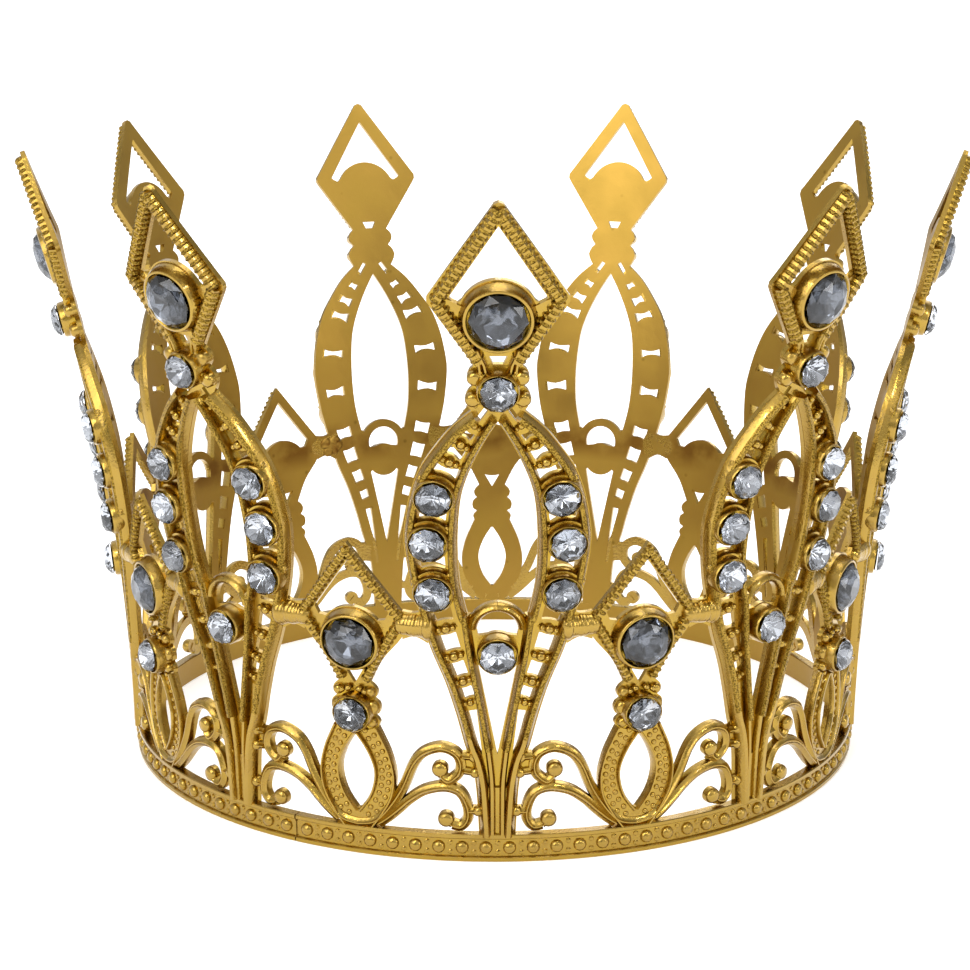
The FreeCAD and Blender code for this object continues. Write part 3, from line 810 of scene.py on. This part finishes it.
def tall_rails(bm):
    """Right-hand rails: rough ridges down to the legs, smooth where they meet in the stem."""
    side = beside(curved(TALL_SIDE), -SIDE_RAIL_INSET)
    split = next(k for k, p in enumerate(side) if p[1] < STEM_TOP)
    sweep(bm, side[:split + 1], EDGE_RAIL, top=RIDGE)
    sweep(bm, side[split:], EDGE_RAIL)
    sweep(bm, beside(curved(ALMOND_SIDE), ALMOND_RAIL_INSET), INNER_RAIL, top=RIDGE)
    sweep(bm, curved(LEG_RAIL), INNER_RAIL, top=RIDGE)
    sweep(bm, curved(STEM_RAIL), FLUTE)
    sweep(bm, arc(ARCH_CENTRE, (ARCH_OUTER + ARCH_INNER) / 2, 90, 5), BAND)


def tall_crest(bm):
    """The right half of the crest's roped border, with the strands under it."""
    upper = beside([(0, TALL_TIP), TALL_CORNER], -TALL_BAR_INSET)
    lower = beside([TALL_CORNER, TALL_NECK], -TALL_BAR_INSET)
    corner = (upper[1][0] - 0.45, upper[1][1] + 0.45)
    roped(bm, [(0, upper[0][1] - 0.8), corner], CREST_BAR, TALL_RIB, 0.2)
    roped(bm, [corner, lower[1]], CREST_BAR, TALL_RIB, 0.9)
    for strand in CREST_STRANDS:
        sweep(bm, straight(strand), STRAND)
    sweep(bm, CREST_LEDGE, CORNER_BAR)


def tall_collar(bm):
    """The neck's two bars, each with a rounded ear at its end and a small bead beside it."""
    for up, reach in TALL_EARS:
        drum(bm, (reach, up), 1.3, 2.5)
        sweep(bm, [(0.5, up), (reach, up)], COLLAR_BAR)
        bead(bm, (reach - 0.9, up + 1.0), 1.8, 0.42)
        bead(bm, (reach - 0.4, up - 1.1), 1.6, 0.4)


def tall_channel(bm):
    """Right-hand rungs of three beads, and the ledges over the side stones."""
    overhang = 0.3
    for first, second in RUNG_GAPS:
        a, b = RUNG_HOLES[first], RUNG_HOLES[second]
        middle = ((a[0] + b[0]) / 2, (a[1] + b[1]) / 2)
        width = (a[2] + b[2]) / 2 + overhang
        three_beads(bm, middle, math.atan2(b[1] - a[1], b[0] - a[0]), width)
    for place, degrees, width in END_RUNGS:
        three_beads(bm, place, math.radians(degrees), width)
    for place, lean in zip(SIDE_ROUNDS, LEDGE_LEANS):
        crescent(bm, place, lean)


def tall_cups(bm):
    """The cups of the crest stone and of all eight round stones."""
    size = sizes()
    cup(bm, TALL_CREST, size.tall_crest_stone / MM, *TALL_CUP, size.crest_floor / MM)
    for spot in at_sides(TALL_ROUNDS):
        cup(bm, spot, size.round_stone / MM, *ROUND_CUP, size.round_floor / MM)


def channel_angle(k):
    """The way the loop's channel runs at one of its holes."""
    a, b = RUNG_HOLES[max(k - 1, 0)], RUNG_HOLES[min(k + 1, len(RUNG_HOLES) - 1)]
    return math.atan2(b[1] - a[1], b[0] - a[0])


def flat_tall_panel():
    """The whole tall panel laid flat: the raised lines are made once and mirrored."""
    half = bmesh.new()
    tall_rails(half)
    tall_crest(half)
    tall_collar(half)
    tall_channel(half)
    sweep(half, straight(STEM_FLUTE), FLUTE)
    doubled(half)
    bm = bmesh.new()
    tall_plate(bm)
    sweep(bm, straight(STEM_FILL), FILL)
    tall_cups(bm)
    joined(bm, half)
    bmesh.ops.recalc_face_normals(bm, faces=bm.faces)
    return bm


# ---- The short panel -----------------------------------------------------------------------------
def short_plate(bm):
    """The short panel's floor with its holes for the crest, the neck and the tear."""
    size = sizes()
    head = straight([(0, SHORT_TIP), SHORT_CORNER]) + curved(SHORT_UNDER)[1:]
    outline = both(head + curved(SHORT_COLLAR, 2)[1:] + curved(SHORT_SIDE)[1:])
    crest_cup = size.short_crest_stone / MM / 2 + SHORT_CREST_EDGE
    crest_hole = both(straight([SHORT_CREST_TOP] + SHORT_CREST_CORNERS)
                      + arc(SHORT_CREST, crest_cup, 35, 90)[1:])
    holes = [crest_hole, both(curved(TEAR_SIDE)), both(SHORT_NECK_HOLE)]
    plate(bm, outline, holes, 0.0, size.plate / MM)


def short_details(bm):
    """Right-hand border, ears and the tear-shaped loop's fine edges and rows of beads."""
    upper = beside([(0, SHORT_TIP), SHORT_CORNER], -SHORT_BAR_INSET)
    roped(bm, [(0, upper[0][1] - 0.7), upper[1]], SHORT_BAR, SHORT_RIB, 0.2)
    lower = beside([SHORT_CORNER] + SHORT_UNDER[2:], -SHORT_BAR_INSET)
    roped(bm, lower, SHORT_BAR, SHORT_RIB, 0.6)
    for up, reach, radius in SHORT_EARS:
        drum(bm, (reach, up), radius, 2.0)
        bead(bm, (reach - 0.9, up + 0.2), 1.8, 0.5)
    bead(bm, (1.0, 30.6), 1.5, 0.6)
    outer, inner = curved(SHORT_SIDE), curved(TEAR_SIDE)
    sweep(bm, beside(outer, -FINE_EDGE_INSET), FINE_EDGE)
    sweep(bm, beside(inner, FINE_EDGE_INSET), FINE_EDGE)
    for share, shift in TEAR_ROWS:
        for k in range(TEAR_BEADS):
            up = TEAR_ROW_TOP - shift - k * TEAR_PITCH
            out_x = across_at(outer, up)
            in_x = across_at(inner, up) if up > TEAR_SIDE[-1][1] else 0.3
            bead(bm, (in_x + (out_x - in_x) * share, up), 1.2, 0.5, stretch=(1, 1, 0.7))


def across_at(run, up):
    """How far across a run is at a level."""
    for a, b in zip(run, run[1:]):
        low, high = min(a[1], b[1]), max(a[1], b[1])
        if low <= up <= high and high > low:
            return a[0] + (b[0] - a[0]) * (up - a[1]) / (b[1] - a[1])
    return run[0][0] if abs(up - run[0][1]) < abs(up - run[-1][1]) else run[-1][0]


def flat_short_panel():
    """The whole short panel laid flat: the raised lines are made once and mirrored."""
    half = bmesh.new()
    short_details(half)
    doubled(half)
    bm = bmesh.new()
    short_plate(bm)
    size = sizes()
    cup(bm, SHORT_CREST, size.short_crest_stone / MM, *SHORT_CUP, size.crest_floor / MM)
    cup(bm, SHORT_ROUND, size.round_stone / MM, *ROUND_CUP, size.round_floor / MM)
    outer, inner = beside(curved(SHORT_SIDE), -0.3), beside(curved(TEAR_SIDE), 0.3)
    raised = both([TEAR_SIDE[0]] + outer[:-2] + [(0, 5.2)])
    plate(bm, raised, [both(inner[1:-1])], 0.2, 1.2)
    joined(bm, half)
    bmesh.ops.recalc_face_normals(bm, faces=bm.faces)
    return bm


# ---- Scrollwork, bridges and rim -----------------------------------------------------------------
def flat_scrollwork():
    """Two pairs of scrolls with ball ends, the knobs that tie them to the stem, and a web."""
    bm = bmesh.new()
    for run, ball in ((UPPER_SCROLL, UPPER_BALL), (LOWER_SCROLL, LOWER_BALL)):
        sweep(bm, curved(run, 5), WIRE)
        drum(bm, ball, 1.45, 2.1)
        sweep(bm, [run[-1], ball], widened(WIRE, 0.75))
    for knob in SCROLL_KNOBS:
        sweep(bm, knob, widened(WIRE, 0.8))
        bead(bm, knob[1], 1.1, 1.05)
    sweep(bm, curved(SCROLL_WEB), WEB)
    sweep(bm, SCROLL_TIE, widened(WEB, 1.6))
    doubled(bm)
    bmesh.ops.recalc_face_normals(bm, faces=bm.faces)
    return bm


def flat_bridge(side, seed):
    """A waisted web with a hammered half-round bar in front, thick where it meets the tall rail."""
    chance = random.Random(seed)
    bm = bmesh.new()
    start, end = BRIDGE_START, sizes().bore_radius / MM * STEP / 2 - BRIDGE_STOP
    middle = (start + end) / 2
    top = curved([(start, CROSSBAR + 3.2), (middle, CROSSBAR + 2.3), (end, CROSSBAR + 2.5)])
    foot = curved([(end, CROSSBAR - 2.7), (middle, CROSSBAR - 2.1), (start, CROSSBAR - 3.2)])
    plate(bm, [(side * x, y) for x, y in top + foot], [], 0.0, sizes().plate / MM, 1.5)
    blows = 9
    for k in range(blows):
        share = k / (blows - 1)
        size = 2.6 - 0.8 * math.sqrt(share) + chance.uniform(-0.1, 0.1)
        place = (side * (start + (end - start + 0.2) * share), CROSSBAR + chance.uniform(-0.1, 0.1))
        bead(bm, place, 0.5, 1.0, 0, (chance.uniform(1.1, 1.8), size, size), detail=3)
    bmesh.ops.bisect_plane(bm, geom=bm.verts[:] + bm.edges[:] + bm.faces[:], dist=WELD,
                           plane_co=(0, 0, -0.02), plane_no=(0, 0, -1), clear_outer=True)
    bmesh.ops.holes_fill(bm, edges=bm.edges)
    bmesh.ops.recalc_face_normals(bm, faces=bm.faces)
    return bm


def flat_solder(seed):
    """Solder at a seam: a ragged line down the rim and a thin puddle behind the bridge."""
    chance = random.Random(seed)
    bm = bmesh.new()
    drops = 9
    for k in range(drops):
        place = (chance.uniform(-0.08, 0.08), 0.4 + k * 0.52)
        reach = 0.62 if 1 < k < drops - 2 else 1.04
        bead(bm, place, 1.0, 1.0, stretch=(0.2, 0.38, reach))
    for _ in range(7):
        place = (chance.uniform(-1.5, 1.5), CROSSBAR + chance.uniform(-1.5, 1.5))
        bead(bm, place, -0.05, 1.1, chance.uniform(0, 3), (1.0, 1.3, 0.45))
    bmesh.ops.recalc_face_normals(bm, faces=bm.faces)
    return bm


# The rim's beads in each pitch: share of the pitch, shares of the height, radius and detail.
RIM_BEADS = ((0.5, (0.5,), 1.2, 2), (1.0, (0.33, 0.67), 0.52, 1))


def build_rim(start, end):
    """A third of the rim: a grooved band, a row of beads and tiny pairs between them."""
    size = sizes()
    bore, wall, height = size.bore_radius, size.rim_wall, size.rim_height
    outer, groove = bore + wall, bore + wall - 0.5 * MM
    rail, edge, draft = 0.85 * MM, 0.15 * MM, 0.1 * MM
    profile = [(bore, edge), (bore + edge, 0), (outer - edge, 0), (outer, edge),
               (outer, rail - edge), (outer - edge, rail), (groove, rail + draft),
               (groove, height - rail - draft), (outer - edge, height - rail),
               (outer, height - rail + edge), (outer, height - edge), (outer - edge, height),
               (bore + edge, height), (bore, height - edge)]
    bm = bmesh.new()
    verts = [bm.verts.new((r * math.sin(start), -r * math.cos(start), z)) for r, z in profile]
    edges = [bm.edges.new((verts[k - 1], verts[k])) for k in range(len(verts))]
    spun = bmesh.ops.spin(bm, geom=verts + edges, cent=(0, 0, 0), axis=(0, 0, 1),
                          angle=end - start, steps=80)
    last = [g for g in spun["geom_last"] if isinstance(g, bmesh.types.BMEdge)]
    for loop in (edges, last):
        bmesh.ops.edgeloop_fill(bm, edges=loop)
    bmesh.ops.recalc_face_normals(bm, faces=bm.faces)
    for face in bm.faces:
        middle = face.calc_center_median()
        if math.hypot(middle.x, middle.y) < bore + 0.05 * MM:
            face.material_index = SATIN
    count = round((end - start) * size.rim_beads / math.tau)
    for k in range(count):
        for shift, levels, radius, detail in RIM_BEADS:
            if k + shift == count:
                continue
            angle = start + (k + shift) * (end - start) / count
            for level in levels:
                place = Vector((groove * math.sin(angle), -groove * math.cos(angle),
                                height * level))
                matrix = Matrix.Translation(place) @ Matrix.Rotation(angle, 4, "Z")
                bmesh.ops.create_icosphere(bm, subdivisions=detail, radius=radius * MM,
                                           matrix=matrix @ Matrix.Diagonal((1, 0.7, 1, 1)))
    return bm


# ---- Stones --------------------------------------------------------------------------------------
def cut_stone(rings, segments):
    """A closed cut stone from its rings of (radius, out, whether it is turned half a facet)."""
    bm = bmesh.new()
    made = bmesh.ops.create_circle(bm, cap_ends=True, segments=segments, radius=rings[0][0])
    bmesh.ops.translate(bm, vec=(0, 0, rings[0][1]), verts=made["verts"])
    edges = bm.edges[:]
    for before, after in zip(rings, rings[1:]):
        grown = bmesh.ops.extrude_edge_only(bm, edges=edges)["geom"]
        verts = [g for g in grown if isinstance(g, bmesh.types.BMVert)]
        edges = [g for g in grown if isinstance(g, bmesh.types.BMEdge)]
        share = after[0] / before[0]
        turn = math.pi / segments if after[2] else 0.0
        matrix = (Matrix.Translation((0, 0, after[1])) @ Matrix.Rotation(turn, 4, "Z")
                  @ Matrix.Diagonal((share, share, 1, 1)) @ Matrix.Translation((0, 0, -before[1])))
        bmesh.ops.transform(bm, matrix=matrix, verts=verts)
    bmesh.ops.edgeloop_fill(bm, edges=edges)
    bmesh.ops.recalc_face_normals(bm, faces=bm.faces)
    quads = [f for f in bm.faces if len(f.verts) == 4]
    bmesh.ops.triangulate(bm, faces=quads)
    bm.faces.index_update()
    return bm


def crest_gem(diameter):
    """A domed stone: a shallow foiled back in broad facets, and two rows of facets to its table."""
    r = diameter / 2
    rings = [(0.16 * r, 0.0, False), (0.55 * r, 0.65, True), (r, 1.4, True), (r, 1.9, False),
             (0.8 * r, 2.9, True), (0.48 * r, 3.6, True)]
    return cut_stone(rings, 10)


def chaton(diameter):
    """A round brilliant chaton: a foiled cone in wedges, a thin girdle and a faceted crown."""
    r = diameter / 2
    rings = [(0.05 * r, 0.0, False), (r, 1.55, True), (r, 1.8, False),
             (0.8 * r, 2.55, True), (0.5 * r, 3.0, True)]
    return cut_stone(rings, 9)


# Painted light and shade on the foil behind a facet: each copy's brightness, and how often each is
# drawn; slot 0 is the glass.
PAINTED_FOIL_LIGHT = ((1.0, "full"), (0.45, "half"), (0.12, "least"))
FOIL_DRAW = (1, 1, 2, 2, 3)


def set_stones(name, gem, spots, floor, turn, materials, replaced, seed):
    """Seats copies of a stone in their cups, each turned by chance about its own axis."""
    chance = random.Random(seed)
    whole = bmesh.new()
    most_lean = 2.0
    foil_top = 0.54 * max(v.co.z for v in gem.verts)
    # In order of their places, so that each facet gets the same foil in every run.
    facets = sorted(gem.faces, key=lambda f: [round(c, 2) for c in f.calc_center_median()])
    for across, up in spots:
        place, normal = on_wall(across, up, floor / MM, turn)
        tilt = normal.to_track_quat("Z", "Y").to_matrix().to_4x4()
        spin = Matrix.Rotation(chance.uniform(0, math.tau), 4, "Z")
        lean = Matrix.Rotation(math.radians(chance.uniform(-most_lean, most_lean)), 4, "X")
        matrix = Matrix.Translation(place) @ tilt @ lean @ spin @ Matrix.Scale(MM, 4)
        mesh = bpy.data.meshes.new("stone")
        gem.to_mesh(mesh)
        mesh.transform(matrix)
        first = len(whole.faces)
        whole.from_mesh(mesh)
        whole.faces.ensure_lookup_table()
        for facet in facets:
            # Each foiled facet draws a lit copy or a painted-shade copy of the foil by chance
            foiled = max(v.co.z for v in facet.verts) < foil_top
            slot_index = chance.choice(FOIL_DRAW) if foiled else 0
            whole.faces[first + facet.index].material_index = slot_index
        bpy.data.meshes.remove(mesh)
    add_piece(name, whole, materials, replaced, smooth=0)


def at_sides(points):
    """The same places on both sides; one on the centre line stays single."""
    return [(s * x, y) for x, y in points for s in ((1, -1) if x else (1,))]


# ---- Operators: one for each group of like pieces ------------------------------------------------
class CROWN_OT_tall_panels(bpy.types.Operator):
    """Models the nine tall points: crest, collar, jewelled loop, legs and stem"""
    bl_idname = "crown.tall_panels"
    bl_label = "Tall Panels"

    def execute(self, context):
        flat = flat_tall_panel()
        for k in range(POINTS):
            make_piece(f"tall_point_{k + 1}", flat, k * STEP, castings(), [f"tall_panel_{k + 1}"])
        flat.free()
        return {"FINISHED"}


class CROWN_OT_short_panels(bpy.types.Operator):
    """Models the nine short points: crest, collar and tear-shaped beaded loop"""
    bl_idname = "crown.short_panels"
    bl_label = "Short Panels"

    def execute(self, context):
        flat = flat_short_panel()
        for k in range(POINTS):
            make_piece(f"short_point_{k + 1}", flat, (k + 0.5) * STEP, castings(),
                       [f"short_panel_{k + 1}"])
        flat.free()
        return {"FINISHED"}


class CROWN_OT_scrollwork(bpy.types.Operator):
    """Models the scrolls that stand on the rim each side of a tall point"""
    bl_idname = "crown.scrollwork"
    bl_label = "Scrollwork"

    def execute(self, context):
        flat = flat_scrollwork()
        for k in range(POINTS):
            make_piece(f"scroll_pair_{k + 1}", flat, k * STEP, castings(), [f"scrollwork_{k + 1}"])
        flat.free()
        return {"FINISHED"}


class CROWN_OT_bridges(bpy.types.Operator):
    """Models the bars that join each tall point to its short neighbours"""
    bl_idname = "crown.bridges"
    bl_label = "Bridges"

    def execute(self, context):
        for side, label in ((1, "right"), (-1, "left")):
            for k in range(POINTS):
                flat = flat_bridge(side, 50 * side + k)
                make_piece(f"bridge_{label}_{k + 1}", flat, k * STEP, castings(), ["bridges"])
                flat.free()
        return {"FINISHED"}


class CROWN_OT_rim(bpy.types.Operator):
    """Models the three sections of the beaded rim"""
    bl_idname = "crown.rim"
    bl_label = "Beaded Rim"

    def execute(self, context):
        gap = SEAM_GAP * MM / sizes().bore_radius
        for k, seam in enumerate(SEAMS):
            start = math.radians(seam) + gap
            end = start + math.tau / len(SEAMS) - 2 * gap
            add_piece(f"beaded_rim_{k + 1}", build_rim(start, end), castings(),
                      [f"rim_section_{k + 1}"])
        return {"FINISHED"}


class CROWN_OT_stones(bpy.types.Operator):
    """Sets the smoke-grey crest stones and the clear round stones in their cups"""
    bl_idname = "crown.stones"
    bl_label = "Stones"

    def execute(self, context):
        size, look = sizes(), finishes()
        smoke = [glass("smoke-grey cut glass", look.smoke, 0.0)]
        clear = [glass("clear cut glass", look.clear, 0.0)]
        for share, painted_light in PAINTED_FOIL_LIGHT:
            smoke.append(foil(f"dark foil, {painted_light} light", look.dark_foil, share))
            clear.append(foil(f"silver foil, {painted_light} light", look.foil, share))
        tall_gem = crest_gem(size.tall_crest_stone / MM)
        short_gem = crest_gem(size.short_crest_stone / MM)
        small = chaton(size.round_stone / MM)
        for k in range(POINTS):
            turn = k * STEP
            set_stones(f"tall_gem_{k + 1}", tall_gem, [TALL_CREST], size.crest_floor, turn, smoke,
                       [f"tall_crest_stone_{k + 1}"], 100 + k)
            set_stones(f"short_gem_{k + 1}", short_gem, [SHORT_CREST], size.crest_floor,
                       turn + STEP / 2, smoke, [f"short_crest_stone_{k + 1}"],
                       200 + k)
            set_stones(f"tall_chatons_{k + 1}", small, at_sides(TALL_ROUNDS), size.round_floor,
                       turn, clear, [f"tall_round_stones_{k + 1}"], 300 + k)
            set_stones(f"short_chaton_{k + 1}", small, [SHORT_ROUND], size.round_floor,
                       turn + STEP / 2, clear, ["short_round_stones"], 400 + k)
        return {"FINISHED"}


class CROWN_OT_solder(bpy.types.Operator):
    """Models the solder at the rim's three seams and behind the bridges there"""
    bl_idname = "crown.solder"
    bl_label = "Solder"

    def execute(self, context):
        for k, seam in enumerate(SEAMS):
            flat = flat_solder(70 + k)
            make_piece(f"solder_{k + 1}", flat, math.radians(seam), [solder_metal()],
                       ["solder_seams"])
            flat.free()
        return {"FINISHED"}


# ---- Stage ---------------------------------------------------------------------------------------
FLOOR_SIZE = 12.0               # metres from the middle to an edge
TARGET = Vector((0, 0, 0.055))
# Square lamps: name, place and width in metres, and watts.
LAMPS = (
    ("key", (-0.75, -0.95, 0.72), 0.9, 7.6),
    ("fill", (1.0, -0.6, 0.35), 0.3, 1.4),
    ("top", (0.1, 0.1, 1.3), 0.7, 5.0),
    ("rim light", (0.3, 1.1, 0.8), 0.7, 4.0),
    ("left spark", (-0.35, -0.8, 0.95), 0.1, 1.6),
    ("right spark", (0.55, -0.75, 0.8), 0.1, 1.3),
)
# The camera: metres from the origin, degrees above it, degrees that it looks down and round.
CAMERA_DISTANCE = 0.4785
CAMERA_ELEVATION = 19.83
CAMERA_PITCH = 14.10
CAMERA_HEADING = -0.43
CAMERA_LENS = 87.63             # millimetres, as its sensor's width is
SENSOR_WIDTH = 36.0
CAMERA_SHIFT = -0.0096


def white_paper():
    """Matt white paper: a pale even floor that glows a little, so that shadows stay soft."""
    material, shader = new_material("matt white paper")
    if shader is None:
        return material
    colour = rgba(finishes().floor)
    shader.inputs["Base Color"].default_value = colour
    shader.inputs["Roughness"].default_value = 0.9
    shader.inputs["Emission Color"].default_value = colour
    shader.inputs["Emission Strength"].default_value = 0.25
    return material


def soft_studio():
    """A studio that is bright overhead and dim at the horizon, in broad soft patches."""
    world = bpy.data.worlds.new("soft studio")
    world.use_nodes = True
    place = node(world, "ShaderNodeTexCoord").outputs["Generated"]
    height = node(world, "ShaderNodeSeparateXYZ", links={0: place}).outputs["Z"]
    rise = node(world, "ShaderNodeMapRange", {1: 0.0, 2: 0.8, 3: 0.58, 4: 0.98},
                {0: height}).outputs[0]
    cloud = node(world, "ShaderNodeTexNoise", {"Scale": 2.2, "Detail": 0.0},
                 {"Vector": place}).outputs["Fac"]
    patch = node(world, "ShaderNodeMapRange", {1: 0.38, 2: 0.62, 3: 0.45, 4: 1.45},
                 {0: cloud}).outputs[0]
    strength = node(world, "ShaderNodeMath", {"operation": "MULTIPLY"},
                    {0: rise, 1: patch}).outputs[0]
    background = world.node_tree.nodes["Background"].inputs
    background["Color"].default_value = (1, 1, 1, 1)
    world.node_tree.links.new(strength, background["Strength"])
    return world


def add_floor(scene):
    bm = bmesh.new()
    bmesh.ops.create_grid(bm, x_segments=1, y_segments=1, size=FLOOR_SIZE)
    mesh = bpy.data.meshes.new("studio_floor")
    bm.to_mesh(mesh)
    bm.free()
    mesh.materials.append(white_paper())
    floor = bpy.data.objects.new("studio_floor", mesh)
    scene.collection.objects.link(floor)


def add_lamps(scene):
    for name, place, width, power in LAMPS:
        lamp = bpy.data.lights.new(name, "AREA")
        lamp.size = width
        lamp.energy = power
        holder = bpy.data.objects.new(name, lamp)
        holder.location = place
        holder.rotation_euler = (TARGET - Vector(place)).to_track_quat("-Z", "Y").to_euler()
        scene.collection.objects.link(holder)


def add_camera(scene):
    elevation, heading = math.radians(CAMERA_ELEVATION), math.radians(CAMERA_HEADING)
    camera = bpy.data.cameras.new("camera")
    camera.lens = CAMERA_LENS
    camera.sensor_width = SENSOR_WIDTH
    camera.shift_x = CAMERA_SHIFT
    camera.clip_start = 0.01
    holder = bpy.data.objects.new("camera", camera)
    away = CAMERA_DISTANCE * math.cos(elevation)
    holder.location = (away * math.sin(heading), -away * math.cos(heading),
                       CAMERA_DISTANCE * math.sin(elevation))
    holder.rotation_euler = (math.pi / 2 - math.radians(CAMERA_PITCH), 0, heading)
    scene.collection.objects.link(holder)
    scene.camera = holder


class CROWN_OT_stage(bpy.types.Operator):
    """Adds a pale floor, soft studio light and the camera"""
    bl_idname = "crown.stage"
    bl_label = "Stage"

    def execute(self, context):
        scene = context.scene
        add_floor(scene)
        scene.view_settings.view_transform = "Standard"
        scene.world = soft_studio()
        add_lamps(scene)
        add_camera(scene)
        return {"FINISHED"}


# ---- The add-on ----------------------------------------------------------------------------------
OPERATORS = (CROWN_OT_rim, CROWN_OT_tall_panels, CROWN_OT_short_panels, CROWN_OT_scrollwork,
             CROWN_OT_bridges, CROWN_OT_stones, CROWN_OT_solder, CROWN_OT_stage)


class CROWN_PT_panel(bpy.types.Panel):
    """Lists the crown's pieces, sizes and finishes in the sidebar"""
    bl_idname = "CROWN_PT_panel"
    bl_label = "Dress Crown"
    bl_space_type = "VIEW_3D"
    bl_region_type = "UI"
    bl_category = "Crown"

    def draw(self, context):
        for operator in OPERATORS:
            self.layout.operator(operator.bl_idname)
        for group in (context.scene.crown_sizes, context.scene.crown_finishes):
            for key in group.bl_rna.properties.keys():
                if key not in ("rna_type", "name"):
                    self.layout.prop(group, key)


CLASSES = (CrownSizes, CrownFinishes) + OPERATORS + (CROWN_PT_panel,)


def register():
    for item in CLASSES:
        bpy.utils.register_class(item)
    bpy.types.Scene.crown_sizes = bpy.props.PointerProperty(type=CrownSizes)
    bpy.types.Scene.crown_finishes = bpy.props.PointerProperty(type=CrownFinishes)


def unregister():
    del bpy.types.Scene.crown_finishes
    del bpy.types.Scene.crown_sizes
    for item in reversed(CLASSES):
        bpy.utils.unregister_class(item)


def main():
    register()
    for operator in OPERATORS:
        group, name = operator.bl_idname.split(".")
        getattr(getattr(bpy.ops, group), name)()


if __name__ == "__main__":
    main()
